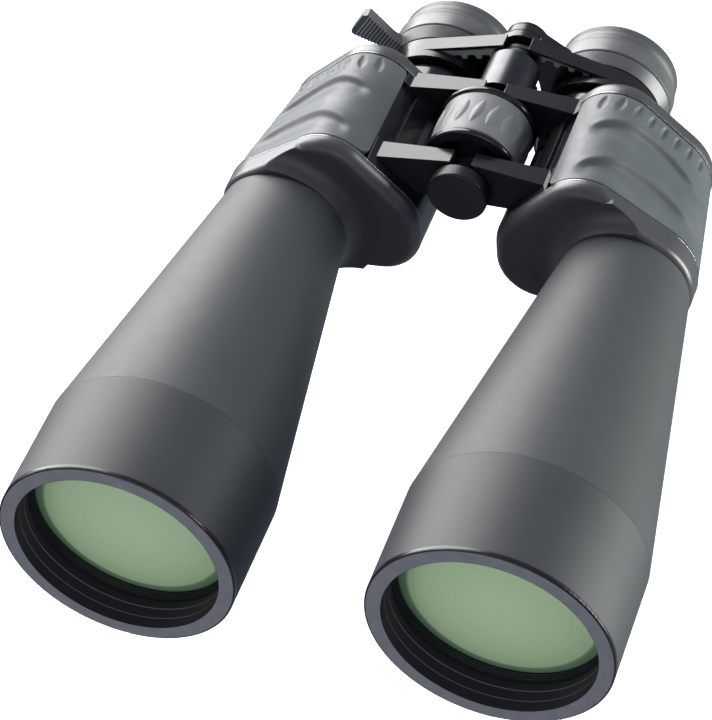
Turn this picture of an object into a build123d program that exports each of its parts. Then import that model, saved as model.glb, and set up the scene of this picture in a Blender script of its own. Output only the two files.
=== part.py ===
from build123d import *
import math
import os

# A large zoom binocular of the Porro-prism kind, lying on a table on its front sleeves and its eyecups.
# It is drawn in an optical frame and laid down at the end: X runs from the user's right hand (minus) to
# the left (plus), Y runs from the front rims (0) back to the eyecups, and Z is up from the objective axes.
# All sizes are in millimetres.

# Clearances
RUNNING = 0.06          # radial play of a turning or sliding fit
SEAT = 0.05             # gap of a fixed fit
FREE = 0.3              # gap between pieces that pass each other
OVER = 1.0              # how far a cutting shape reaches past what it cuts
FAR = 200.0             # past everything

# Objective end
OBJECTIVE_SPACING = 129.6
SLEEVE_R = 42.25
SLEEVE_LENGTH = 42.2
SLEEVE_WALL = 4.25
SLEEVE_LIP = 0.6
SLEEVE_EDGE_R = 0.5
BEZEL_T = 2.5
BEZEL_LEDGE = 1.5       # how far the bezel's bore stands in from the sleeve's bore
BEZEL_SKIRT = 9.0
RETAINER_FRONT_Y = 12.0
RETAINER_EDGE = 0.9
RETAINER_STEPS = 5
CELL_WALL = 1.0
CELL_LIP_T = 2.5
LENS_LEDGE = 1.8        # how far the lens's clear aperture stands in from its edge
LENS_EDGE_Y = 16.0
LENS_EDGE_T = 9.5
LENS_FRONT_SAG = 3.8
LENS_BACK_SAG = 1.0
BARREL_SPIGOT = 9.0     # how far the barrel reaches into the sleeve
BARREL_WALL = 2.2
BARREL_STEP = 3.0       # the solid length between the barrel's spigots and its cone
BARREL_END_R = 24.2
TENON_STEP = 1.7
TENON_LENGTH = 9.0

# Prism housing: a five-cornered outline with rounded corners, whose outer side draws in towards the rear
FRONT_PARTING_Y = 175.0
PRISM_SPARE = 1.28      # length left in the housing past both prisms and their shelf
HOUSING_TOP = (46.2, 43.6)
HOUSING_TOP_R = 16.5
HOUSING_REACH = 24.7    # from the objective axis to the housing's outer side, at the front
HOUSING_DRAW_IN = 7.5   # how far the outer side draws in from front to rear parting plane
HOUSING_SHOULDER_Z = 14.0
HOUSING_SHOULDER_DROP = 3.0     # how far the shoulder falls from front to rear parting plane
HOUSING_SHOULDER_R = 22.5
HOUSING_OUTER_FOOT_Z = -26.2
HOUSING_OUTER_FOOT_R = 23.5
HOUSING_INNER_X = 14.7
HOUSING_INNER_FOOT_Z = -19.1
HOUSING_INNER_FOOT_R = 17.0
HOUSING_WAIST_Z = 10.8
HOUSING_WAIST_R = 20.0
HOUSING_WALL = 2.4
WHEEL_ROOM = 4.8        # hollow in the housing's flank, past the focus wheel
GROOVE_WIDTH = 5.0      # groove in the flank, beside the armour's edge
GROOVE_DEPTH = 2.0
COLLAR_LENGTH = 10.0    # front cover, from the barrel's end to the parting plane
COLLAR_EDGE_R = 3.0
COVER_WALL = 3.5
COVER_DEPTH = 5.6       # front cover, from its flat face to the parting plane
COVER_EDGE_R = 5.0
SCALLOP_OUT = 8.8       # the hollow ring round the collar: its middle, past the barrel's end
SCALLOP_FORWARD = 15.5
SCALLOP_SECTION_R = 10.5
SCALLOP_SHIFT = 2.0     # how far the hollow ring stands off the barrel's axis: it dies out at the outer side
REAR_COVER_DEPTH = 6.5
REAR_COVER_EDGE_R = 3.5
SCREW_HEAD_R = 2.0
SCREW_HEAD_T = 1.2
SCREW_SHANK_R = 1.0
SCREW_LENGTH = 11.0
SCREW_SLOT_W = 0.5
SCREW_INSET = 5.8       # from the housing's outline to a screw
SCREW_BOSS_R = 3.2
SCREW_BOSS_LENGTH = 8.0

# Rubber armour: finger hollows across the outer slope and a row of lens-shaped pockets at the rear edge
ARMOUR_T = 1.8
ARMOUR_INNER_X = 33.5
FINGER_HOLLOWS = (9.0, 29.5)   # from the front parting plane
FINGER_HOLLOW_R = 24.0
FINGER_HOLLOW_DEPTH = 1.1
POCKET_COUNT = 8
POCKET_BACK = 6.2       # from the rear parting plane to the pockets' middles
POCKET_LENGTH = 10.0
POCKET_HALF_WIDTH = 2.6
POCKET_DEPTH = 0.9
POCKET_FIRST = 12.0     # path length from the armour's inner edge to the first pocket
POCKET_STEP = 6.6
POCKET_LEAN = 12.0

# Porro prisms
PRISM_WIDTH = 20.0
SHELF_T = 2.4
PRISM_TIP_FLAT = 2.4
CLIP_T = 0.8
CLIP_WIDTH = 5.0
LIGHT_HOLE_R = 9.0

# Hinge and focus wheel
HINGE_Z = 19.5
KNUCKLE_R = 7.5
HINGE_PIN_R = 5.5
ARM_GAP = 8.0           # between the two arms' ends, above the hinge
ARM_TOP_INNER_Z = 30.6
ARM_TOP_OUTER_Z = 28.2
ARM_ROOT = (38.0, 22.0)
ARM_FOOT = (26.0, 13.5)
ARM_OUTER_T = 8.5
ARM_INNER_T = 6.3
ARM_SETBACK = 1.8       # how far the arm's front face steps back towards the hinge
FRONT_ARM_BACK = 4.5    # from the front parting plane to the front arms
REAR_ARM_FORWARD = 6.0  # from the rear parting plane to the rear arms
FOLD_IN = 19.6          # how far the halves fold together from this pose, in degrees
WASHER_T = 0.5
WASHER_R = 7.0
WHEEL_GAP = 2.2         # from the front arms to the wheel
WHEEL_WIDTH = 26.0
WHEEL_R = 18.2
WHEEL_RIM_W = 2.4
WHEEL_RIM_EDGE_R = 0.9
WHEEL_DRUM_R = 15.9
WHEEL_RECESS_R = 14.4
WHEEL_RECESS = 2.5
WHEEL_HUB_R = 8.5
GRIP_R = 17.4
GRIP_BUMPS = 18
GRIP_BUMP_LENGTH = 12.0
GRIP_BUMP_HALF_WIDTH = 1.6
GRIP_BUMP_SINK = 1.0
GRIP_BUMP_TILT = 10.0
JOURNAL = 5.5           # length of the wheel's bearing on the pin and on the tube

# Focus tube and rod, on the hinge axis
FOCUS_IN = 0.5          # how much further in the eyepieces can go than they stand
TUBE_R = 10.0
TUBE_WALL = 1.5
TUBE_CHAMFER = 1.6
TUBE_GAP = 1.5          # from the tube to the bridge
ROD_R = 4.0
ROD_NECK_R = 2.8

# Tripod socket and its cap
SOCKET_R = 3.175
SOCKET_DEPTH = 10.0
BOSS_R = 8.0
BOSS_NECK_R = 6.5
CAP_R = 11.25
CAP_LENGTH = 5.5
CAP_FORWARD = 0.5       # from the cap's face to the front parting plane
CAP_FACE_T = 1.6
CAP_GAP = 0.4
CAP_EDGE_R = 1.0

# Eyepiece bridge with its zoom belts
BRIDGE_BACK = 19.0      # from the rear cover to the bridge
BRIDGE_PLATE_T = 1.7
BRIDGE_RIM_T = 1.2
BRIDGE_EYE_STEP = 4.7   # from the eyepiece tube to the bridge's outside
BRIDGE_HUB_R = 9.6
BRIDGE_CHEEK_X = 5.0
CLAMP_T = 3.5
HUB_RING_R = 8.4
HUB_RING_T = 3.4
HUB_GAP = 0.5
HUB_CAP_T = 2.6
HUB_CAP_EDGE = 0.9
HUB_CAP_FALL = 2.2
HUB_CAP_TOP_R = 6.0
BELT_INSET = 0.4
BELT_WIDTH = 2.0
BELT_TOOTH_PITCH = 5.8
BELT_TOOTH_W = 3.0
BELT_TOOTH_H = 1.8
PULLEY_R = 4.0

# Eyepieces
EYE_SPACING = 64.2
EYE_Z = -1.9
EYE_STEM_STEP = 5.0     # from the eyepiece tube in to its stem
EYE_STEM_BACK = 1.5     # from the rear parting plane to the stem's front end
EYE_TUBE_R = 17.2
EYE_TUBE_WALL = 1.4
BUSH_WALL = 1.6
BUSH_FLANGE_STEP = 3.3  # from the eyepiece tube out to the bush's flange
BUSH_EDGE = 1.4
BUSH_GAP = 2.0
ZOOM_CELL_GAP = 4.6     # from the tube's step to the zoom cell
ZOOM_CELL_LENGTH = 7.0
ZOOM_CELL_WALL = 2.0
ZOOM_LENS_SAG = 2.0
ZOOM_LENS_EDGE_T = 3.0
ZOOM_NECK_T = 1.0
RING_GAP = 0.8
RING_LENGTH = 5.3
RING_FLARE = 2.1
RING_EDGE = 0.5
OCULAR_GRIP = 2.9       # how far the ocular ring reaches over the tube
OCULAR_LENGTH = 7.1
OCULAR_FLARE = 0.2
OCULAR_FLOOR_T = 1.0
OCULAR_LEDGE = 1.5
EYE_LENS_STEP = 3.2     # from the eyepiece tube in to the eye lens
EYE_LENS_EDGE_T = 2.6
EYE_LENS_SAG = 1.6
EYECUP_LENGTH = 9.3
EYECUP_FOOT_STEP = 0.5  # from the eyepiece tube in to the eyecup's foot
EYECUP_MOUTH_STEP = 1.0     # from the eyepiece tube out to the eyecup's mouth
EYECUP_WAIST_STEP = 1.5     # from the ocular ring in to the waist, the roll and the lip
EYECUP_ROLL_STEP = 1.0
EYECUP_LIP_STEP = 2.3
EYECUP_LIP_T = 1.2

# Zoom lever
LEVER_ANGLE = 147.0     # seen from the front, from the X axis towards up
LEVER_REACH = 17.0      # from the zoom ring to the tip
LEVER_TIP_HALF_W = 6.4
LEVER_TIP_BEVEL = 1.5
LEVER_ROOT_HALF_W = 3.4
LEVER_ROOT_LENGTH = 3.0
LEVER_T = 4.6
LEVER_RIBS = 10
LEVER_RIB_STEP = 1.35
LEVER_RIB_DEPTH = 0.45

# Places that follow from the sizes above: objective end
OBJECTIVE_X = OBJECTIVE_SPACING / 2
EYE_X = EYE_SPACING / 2
OBJECTIVE_BORE_R = SLEEVE_R - SLEEVE_WALL
BEZEL_R = SLEEVE_R - SLEEVE_LIP - SEAT
BEZEL_BORE_R = OBJECTIVE_BORE_R - BEZEL_LEDGE
INSERT_R = OBJECTIVE_BORE_R - SEAT
LENS_R = OBJECTIVE_BORE_R - CELL_WALL
LENS_APERTURE_R = LENS_R - LENS_LEDGE
LENS_BACK_Y = LENS_EDGE_Y + LENS_EDGE_T
BARREL_END_Y = FRONT_PARTING_Y - COLLAR_LENGTH
TENON_R = BARREL_END_R - TENON_STEP

# Housing, hinge and wheel; each prism folds light from one optical axis to a corner midway between them
PRISM_DEPTH = math.hypot(OBJECTIVE_X - EYE_X, EYE_Z) / math.sqrt(2)
HOUSING_LENGTH = 2 * PRISM_DEPTH + SHELF_T + PRISM_SPARE
REAR_PARTING_Y = FRONT_PARTING_Y + HOUSING_LENGTH
COVER_FACE_Y = FRONT_PARTING_Y - COVER_DEPTH
REAR_FACE_Y = REAR_PARTING_Y + REAR_COVER_DEPTH
SHELF_Y = (FRONT_PARTING_Y + REAR_PARTING_Y - SHELF_T) / 2
FRONT_ARM_Y = FRONT_PARTING_Y + FRONT_ARM_BACK
REAR_ARM_Y = REAR_PARTING_Y - REAR_ARM_FORWARD
FRONT_ARM_END_Y = FRONT_ARM_Y + ARM_OUTER_T
REAR_ARM_END_Y = REAR_ARM_Y + ARM_OUTER_T
WHEEL_FRONT_Y = FRONT_ARM_END_Y + WHEEL_GAP
WHEEL_REAR_Y = WHEEL_FRONT_Y + WHEEL_WIDTH
WHEEL_ROOM_R = WHEEL_R + WHEEL_ROOM
PIN_END_Y = WHEEL_FRONT_Y + JOURNAL
CAP_FRONT_Y = FRONT_PARTING_Y - CAP_FORWARD
CAP_REAR_Y = CAP_FRONT_Y + CAP_LENGTH
BOSS_FRONT_Y = CAP_FRONT_Y + CAP_FACE_T + CAP_GAP

# Bridge and eyepieces, from front to rear
BRIDGE_FRONT_Y = REAR_FACE_Y + BRIDGE_BACK
EYE_TUBE_BORE_R = EYE_TUBE_R - EYE_TUBE_WALL
EYE_STEM_R = EYE_TUBE_R - EYE_STEM_STEP
EYE_LENS_R = EYE_TUBE_R - EYE_LENS_STEP
BUSH_FLANGE_R = EYE_TUBE_R + BUSH_FLANGE_STEP
BRIDGE_EYE_R = EYE_TUBE_R + BRIDGE_EYE_STEP
ZOOM_NECK_R = EYE_TUBE_R + ZOOM_NECK_T
RING_FRONT_R = BRIDGE_EYE_R
RING_REAR_R = RING_FRONT_R + RING_FLARE
LEVER_TIP_R = RING_REAR_R + LEVER_REACH
OCULAR_R = RING_REAR_R + OCULAR_FLARE
EYECUP_FOOT_R = EYE_TUBE_R - EYECUP_FOOT_STEP
EYECUP_MOUTH_R = EYE_TUBE_R + EYECUP_MOUTH_STEP
EYECUP_WAIST_R = OCULAR_R - EYECUP_WAIST_STEP
EYECUP_ROLL_R = OCULAR_R - EYECUP_ROLL_STEP
EYECUP_LIP_R = OCULAR_R - EYECUP_LIP_STEP
CLAMP_Y = BRIDGE_FRONT_Y - CLAMP_T
BUSH_END_Y = CLAMP_Y - BUSH_GAP
BUSH_R = EYE_STEM_R + BUSH_WALL
TUBE_FRONT_Y = REAR_ARM_END_Y + FREE
TUBE_REAR_Y = BRIDGE_FRONT_Y - TUBE_GAP
RIGHT_BELT_Y = BRIDGE_FRONT_Y + BELT_INSET
LEFT_BELT_Y = RIGHT_BELT_Y + BELT_WIDTH + FREE
BRIDGE_PLATE_Y = LEFT_BELT_Y + BELT_WIDTH + FREE
BRIDGE_REAR_Y = BRIDGE_PLATE_Y + BRIDGE_PLATE_T
HUB_FRONT_Y = BRIDGE_REAR_Y + HUB_GAP
HUB_LEFT_Y = HUB_FRONT_Y + HUB_RING_T + FREE
HUB_REAR_Y = HUB_LEFT_Y + HUB_RING_T + FREE
BELT_EYE_R = ZOOM_NECK_R + FREE
BELT_HUB_R = PULLEY_R + FREE
BELT_T = BRIDGE_EYE_R - BRIDGE_RIM_T - SEAT - BELT_EYE_R
RING_FRONT_Y = BRIDGE_REAR_Y + RING_GAP
RING_REAR_Y = RING_FRONT_Y + RING_LENGTH
OCULAR_FRONT_Y = RING_REAR_Y + FREE
EYE_TUBE_REAR_Y = OCULAR_FRONT_Y + OCULAR_GRIP
OCULAR_FLOOR_Y = EYE_TUBE_REAR_Y + FREE
EYE_LENS_Y = OCULAR_FLOOR_Y + OCULAR_FLOOR_T
OCULAR_END_Y = OCULAR_FRONT_Y + OCULAR_LENGTH
EYECUP_END_Y = OCULAR_END_Y + EYECUP_LENGTH
ZOOM_CELL_Y = CLAMP_Y + EYE_TUBE_WALL + ZOOM_CELL_GAP
ZOOM_CELL_R = EYE_TUBE_BORE_R - RUNNING
LEVER_FRONT_Y = RING_FRONT_Y + FREE

# The way the binocular lies: nose up, on the rear edges of its sleeves and the widest rings of its eyecups
REST_TILT = math.degrees(
    math.atan2(SLEEVE_R - (OCULAR_R - EYE_Z), OCULAR_END_Y - SLEEVE_LENGTH)
)
REST_SIN = math.sin(math.radians(REST_TILT))
REST_COS = math.cos(math.radians(REST_TILT))
REST_FRONT = -(SLEEVE_R - SLEEVE_EDGE_R) * REST_SIN - SLEEVE_EDGE_R * (1 - REST_COS)
REST_BACK = EYECUP_END_Y * REST_COS + (EYE_Z + EYECUP_LIP_R) * REST_SIN
REST_HEIGHT = SLEEVE_R * REST_COS + SLEEVE_LENGTH * REST_SIN


def turned(profile, x=0.0, z=0.0):
    """A body of revolution about the line along Y through x, z, from its (radius, y) points."""
    return Pos(x, 0, z) * revolve(Face(Polyline(*profile, close=True)), Axis.Y)


def ring(inner, outer, y0, y1, x=0.0, z=0.0):
    """A plain ring, or a disc if its inner radius is 0."""
    return turned([(inner, y0), (outer, y0), (outer, y1), (inner, y1)], x, z)


def slab(face, y0, y1):
    """An outline drawn in X and Z, made solid from y0 to y1."""
    return extrude(Plane.XZ.offset(-y1) * face, amount=y1 - y0, dir=(0, -1, 0))


def polygon(*points):
    """A flat outline from its corners."""
    return Face(Polyline(*points, close=True))


def past_x(x):
    """Everything further out than x."""
    return polygon((x, -FAR), (FAR, -FAR), (FAR, FAR), (x, FAR))


def block(x0, x1, y0, y1, z0, z1):
    """A plain block between two corners."""
    return Pos((x0 + x1) / 2, (y0 + y1) / 2, (z0 + z1) / 2) * Box(x1 - x0, y1 - y0, z1 - z0)


def spindle(length, half_width):
    """A lemon shape along Y: an arc turned about its own chord."""
    chord = Line((0, length / 2), (0, -length / 2))
    arc = ThreePointArc((0, -length / 2), (half_width, 0), (0, length / 2))
    return revolve(Face(Wire([chord, arc])), Axis.Y)


def sphere_radius(edge_r, sag):
    """The radius of the sphere whose cap has this edge and this height."""
    return (edge_r**2 + sag**2) / (2 * sag)


def bulge(edge_r, sag, r):
    """How far a lens face stands out past its edge at radius r."""
    sphere = sphere_radius(edge_r, sag)
    return sag - sphere + math.sqrt(sphere**2 - r**2)


def lens_face(edge_r, y, sag, sense):
    """Half the section of a lens face, from the axis to the edge at y; sense -1 bulges forwards."""
    if sag == 0:
        return Line((0, y), (edge_r, y))
    middle_r = sphere_radius(edge_r, sag) * math.sin(math.asin(edge_r / sphere_radius(edge_r, sag)) / 2)
    middle_y = y + sense * bulge(edge_r, sag, middle_r)
    return ThreePointArc((0, y + sense * sag), (middle_r, middle_y), (edge_r, y))


def lens(edge_r, y0, y1, front_sag, back_sag, x, z):
    """A lens whose edge runs from y0 to y1; its faces are parts of spheres, or flat if their sag is 0."""
    front = lens_face(edge_r, y0, front_sag, -1)
    back = lens_face(edge_r, y1, back_sag, 1)
    edge = Line((edge_r, y0), (edge_r, y1))
    axis = Line((0, y1 + back_sag), (0, y0 - front_sag))
    return Pos(x, 0, z) * revolve(Face(Wire([front, edge, back, axis])), Axis.Y)


def front_edges(solid):
    """The outer edges of a solid's foremost flat face."""
    return solid.faces().sort_by(Axis.Y)[0].outer_wire().edges()


def rear_edges(solid):
    """The outer edges of a solid's rearmost flat face."""
    return solid.faces().sort_by(Axis.Y)[-1].outer_wire().edges()


# The left half is drawn, at plus X; the right half is its mirror image.


def housing_corners(share):
    """The corners of the housing's outline at this share of the way from front to rear parting plane."""
    outer_x = OBJECTIVE_X + HOUSING_REACH - share * HOUSING_DRAW_IN
    return (
        Vector(*HOUSING_TOP),
        Vector(outer_x, HOUSING_SHOULDER_Z - share * HOUSING_SHOULDER_DROP),
        Vector(outer_x, HOUSING_OUTER_FOOT_Z),
        Vector(HOUSING_INNER_X, HOUSING_INNER_FOOT_Z),
        Vector(HOUSING_INNER_X, HOUSING_WAIST_Z),
    )


def outline_wire(share):
    """The housing's outline at this share of its length."""
    return FilletPolyline(
        *housing_corners(share),
        radius=[
            HOUSING_TOP_R,
            HOUSING_SHOULDER_R,
            HOUSING_OUTER_FOOT_R,
            HOUSING_INNER_FOOT_R,
            HOUSING_WAIST_R,
        ],
        close=True,
    )


FRONT_OUTLINE = Face(outline_wire(0))
REAR_OUTLINE = Face(outline_wire(1))
TOP_CORNER = housing_corners(0)[0]
WAIST_CORNER = housing_corners(0)[4]
FLANK = (TOP_CORNER - WAIST_CORNER).normalized()
FLANK_IN = Vector(FLANK.Y, -FLANK.X)    # from the flank into the housing
HINGE_SPOT = Pos(0, HINGE_Z)


def between_partings(front, rear):
    """A solid that runs from one outline at the front parting plane to another at the rear one."""
    sections = [Plane.XZ.offset(-FRONT_PARTING_Y) * front, Plane.XZ.offset(-REAR_PARTING_Y) * rear]
    return loft(sections, ruled=True)


def inset_housing(inset):
    """The housing's outside, made smaller by an inset."""
    return between_partings(offset(FRONT_OUTLINE, -inset), offset(REAR_OUTLINE, -inset))


HOUSING_FORM = between_partings(FRONT_OUTLINE, REAR_OUTLINE)


def inner_outline(gap):
    """The hollow inside the housing's walls, made smaller by a gap."""
    hollow = offset(REAR_OUTLINE, -(ARMOUR_T + HOUSING_WALL + gap))
    return hollow - HINGE_SPOT * Circle(WHEEL_ROOM_R + HOUSING_WALL + gap)


CAVITY = inner_outline(0)


def flank_point(x, depth):
    """The point of the flank at this x, moved into the housing by a depth."""
    return WAIST_CORNER + FLANK * ((x - WAIST_CORNER.X) / FLANK.X) + FLANK_IN * depth


def objective_sleeve():
    """The straight rubber-coated sleeve round the front of the barrel."""
    lip_r = SLEEVE_R - SLEEVE_LIP
    sleeve = turned(
        [
            (lip_r, 0),
            (SLEEVE_R, 0),
            (SLEEVE_R, SLEEVE_LENGTH),
            (OBJECTIVE_BORE_R, SLEEVE_LENGTH),
            (OBJECTIVE_BORE_R, BEZEL_T),
            (lip_r, BEZEL_T),
        ],
        OBJECTIVE_X,
    )
    return fillet(front_edges(sleeve), SLEEVE_EDGE_R)


def objective_bezel():
    """The pale flat ring round the objective, with a skirt that holds it in the sleeve."""
    return turned(
        [
            (BEZEL_BORE_R, 0),
            (BEZEL_R, 0),
            (BEZEL_R, BEZEL_T),
            (INSERT_R, BEZEL_T),
            (INSERT_R, BEZEL_T + BEZEL_SKIRT),
            (BEZEL_BORE_R, BEZEL_T + BEZEL_SKIRT),
        ],
        OBJECTIVE_X,
    )


def lens_retaining_ring():
    """The black funnel-shaped ring that clamps the lens, with steps that catch stray light."""
    front_r = OBJECTIVE_BORE_R - RETAINER_EDGE
    rear_y = LENS_EDGE_Y - bulge(LENS_R, LENS_FRONT_SAG, LENS_APERTURE_R) - SEAT
    step_y = (rear_y - RETAINER_FRONT_Y) / RETAINER_STEPS
    step_r = (front_r - LENS_APERTURE_R) / RETAINER_STEPS
    profile = [(INSERT_R, rear_y), (INSERT_R, RETAINER_FRONT_Y)]
    for i in range(RETAINER_STEPS):
        profile.append((front_r - i * step_r, RETAINER_FRONT_Y + i * step_y))
        profile.append((front_r - i * step_r, RETAINER_FRONT_Y + (i + 1) * step_y))
    profile.append((LENS_APERTURE_R, rear_y))
    return turned(profile, OBJECTIVE_X)


def objective_cell():
    """The cup that centres the lens in the sleeve."""
    floor_y = LENS_BACK_Y + bulge(LENS_R, LENS_BACK_SAG, LENS_APERTURE_R) + SEAT
    return turned(
        [
            (LENS_R + SEAT, LENS_EDGE_Y),
            (INSERT_R, LENS_EDGE_Y),
            (INSERT_R, floor_y + CELL_LIP_T),
            (LENS_APERTURE_R, floor_y + CELL_LIP_T),
            (LENS_APERTURE_R, floor_y),
            (LENS_R + SEAT, floor_y),
        ],
        OBJECTIVE_X,
    )


def objective_doublet():
    """The cemented objective lens."""
    return lens(LENS_R, LENS_EDGE_Y, LENS_BACK_Y, LENS_FRONT_SAG, LENS_BACK_SAG, OBJECTIVE_X, 0)


def objective_barrel():
    """The tapering tube from the sleeve to the prism housing, with a spigot at each end."""
    spigot_y = SLEEVE_LENGTH - BARREL_SPIGOT
    tenon_end_y = BARREL_END_Y + TENON_LENGTH
    cone_start = SLEEVE_LENGTH + BARREL_STEP
    cone_end = BARREL_END_Y - BARREL_STEP
    taper = (SLEEVE_R - BARREL_END_R) / (BARREL_END_Y - SLEEVE_LENGTH)
    return turned(
        [
            (INSERT_R - BARREL_WALL, spigot_y),
            (INSERT_R, spigot_y),
            (INSERT_R, SLEEVE_LENGTH),
            (SLEEVE_R, SLEEVE_LENGTH),
            (BARREL_END_R, BARREL_END_Y),
            (TENON_R, BARREL_END_Y),
            (TENON_R, tenon_end_y),
            (TENON_R - BARREL_WALL, tenon_end_y),
            (TENON_R - BARREL_WALL, cone_end),
            (BARREL_END_R + BARREL_STEP * taper - BARREL_WALL, cone_end),
            (SLEEVE_R - BARREL_STEP * taper - BARREL_WALL, cone_start),
            (INSERT_R - BARREL_WALL, cone_start),
        ],
        OBJECTIVE_X,
    )


def front_cover():
    """The cover in front of the prisms, with a hollow ring round the collar that takes the barrel."""
    plate = slab(FRONT_OUTLINE, COVER_FACE_Y, FRONT_PARTING_Y)
    plate = fillet(front_edges(plate), COVER_EDGE_R)
    scallop_r = BARREL_END_R + SCALLOP_OUT + SCALLOP_SHIFT
    collar = slab(FRONT_OUTLINE, BARREL_END_Y, FRONT_PARTING_Y)
    collar = fillet(front_edges(collar), COLLAR_EDGE_R)
    cover = plate + (collar & ring(0, scallop_r, BARREL_END_Y, FRONT_PARTING_Y, OBJECTIVE_X))
    middle = Pos(OBJECTIVE_X + SCALLOP_SHIFT, FRONT_PARTING_Y - SCALLOP_FORWARD, 0)
    cover -= middle * Rot(90, 0, 0) * Torus(scallop_r, SCALLOP_SECTION_R)
    cover -= slab(CAVITY, COVER_FACE_Y + COVER_WALL, FRONT_PARTING_Y) - ring(
        0, TENON_R + BARREL_WALL, COVER_FACE_Y, FRONT_PARTING_Y, OBJECTIVE_X
    )
    return cover - ring(0, TENON_R + SEAT, BARREL_END_Y - OVER, FRONT_PARTING_Y + OVER, OBJECTIVE_X)


def screw_spots():
    """Where the rear cover's screws sit: just inside the slope, the outer side and the belly."""
    corners = housing_corners(1)
    spots = []
    for first, second in zip(corners[0:3], corners[1:4]):
        edge = (second - first).normalized()
        spot = (first + second) * 0.5 + Vector(edge.Y, -edge.X) * SCREW_INSET
        spots.append(Location((spot.X, REAR_FACE_Y, spot.Y)))
    return spots


def screw_shape(gap):
    """A screw along minus Y with its head's face at the origin, grown by a gap to cut its hole."""
    head = ring(0, SCREW_HEAD_R + gap, -SCREW_HEAD_T - gap, 0)
    return head + ring(0, SCREW_SHANK_R + gap, -SCREW_LENGTH - gap, -SCREW_HEAD_T)


def screw_bosses(y0, y1):
    """The round posts that take the screws, from y0 to y1."""
    posts = [ring(0, SCREW_BOSS_R, y0, y1, spot.position.X, spot.position.Z) for spot in screw_spots()]
    return posts[0] + posts[1:]


def cover_screws():
    """The rear cover's three slotted screws."""
    slot = block(-SCREW_HEAD_R, SCREW_HEAD_R, -SCREW_HEAD_T / 2, 0, -SCREW_SLOT_W / 2, SCREW_SLOT_W / 2)
    return [(screw_shape(0) - slot).moved(spot) for spot in screw_spots()]


def rear_cover():
    """The cover behind the prisms, bored for the eyepiece's guide bush."""
    inside_y = REAR_FACE_Y - COVER_WALL
    plate = slab(REAR_OUTLINE, REAR_PARTING_Y, REAR_FACE_Y)
    plate = fillet(rear_edges(plate), REAR_COVER_EDGE_R)
    plate -= slab(CAVITY, REAR_PARTING_Y, inside_y) - screw_bosses(REAR_PARTING_Y, inside_y)
    plate -= ring(0, BUSH_R + SEAT, REAR_PARTING_Y, REAR_FACE_Y, EYE_X, EYE_Z)
    for spot in screw_spots():
        plate -= screw_shape(SEAT).moved(spot)
    return plate


def guide_bush():
    """The black bush in the rear cover that guides the eyepiece's stem."""
    bore = EYE_STEM_R + RUNNING
    front_y = REAR_PARTING_Y + OVER
    return turned(
        [
            (bore, front_y),
            (BUSH_R, front_y),
            (BUSH_R, REAR_FACE_Y),
            (BUSH_FLANGE_R, REAR_FACE_Y),
            (BUSH_FLANGE_R, BUSH_END_Y - 2 * BUSH_EDGE),
            (BUSH_FLANGE_R - BUSH_EDGE, BUSH_END_Y),
            (bore, BUSH_END_Y),
        ],
        EYE_X,
        EYE_Z,
    )


def hinge_arm(front_y, ring_y, ring_end_y):
    """A flat-topped bar from the housing's flank to the hinge, with its knuckle from ring_y to ring_end_y."""
    rear_y = front_y + ARM_OUTER_T
    inner_x = ARM_GAP / 2
    outline = polygon(
        (inner_x, ARM_TOP_INNER_Z),
        (ARMOUR_INNER_X - FREE, ARM_TOP_OUTER_Z),
        ARM_ROOT,
        ARM_FOOT,
        (inner_x, HINGE_Z - KNUCKLE_R),
    )
    inner_front = front_y + ARM_SETBACK
    plan = polygon(
        (0, inner_front),
        (ARMOUR_INNER_X, front_y),
        (FAR, front_y),
        (FAR, rear_y),
        (ARMOUR_INNER_X, rear_y),
        (0, inner_front + ARM_INNER_T),
    )
    bar = slab(outline, front_y, rear_y)
    bar &= Pos(0, 0, -FAR) * extrude(plan, amount=2 * FAR, dir=(0, 0, 1))
    bar -= ring(0, KNUCKLE_R + FREE, front_y - OVER, ring_y, 0, HINGE_Z)
    bar -= ring(0, KNUCKLE_R + FREE, ring_end_y, rear_y + OVER, 0, HINGE_Z)
    return bar + ring(0, KNUCKLE_R, ring_y, ring_end_y, 0, HINGE_Z)


def knuckle_spans(front_y):
    """The front and rear knuckle's places in one pair of arms, with a washer between them."""
    start = front_y + ARM_SETBACK
    middle = start + ARM_INNER_T / 2
    return (start, middle - WASHER_T / 2), (middle + WASHER_T / 2, start + ARM_INNER_T)


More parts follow.
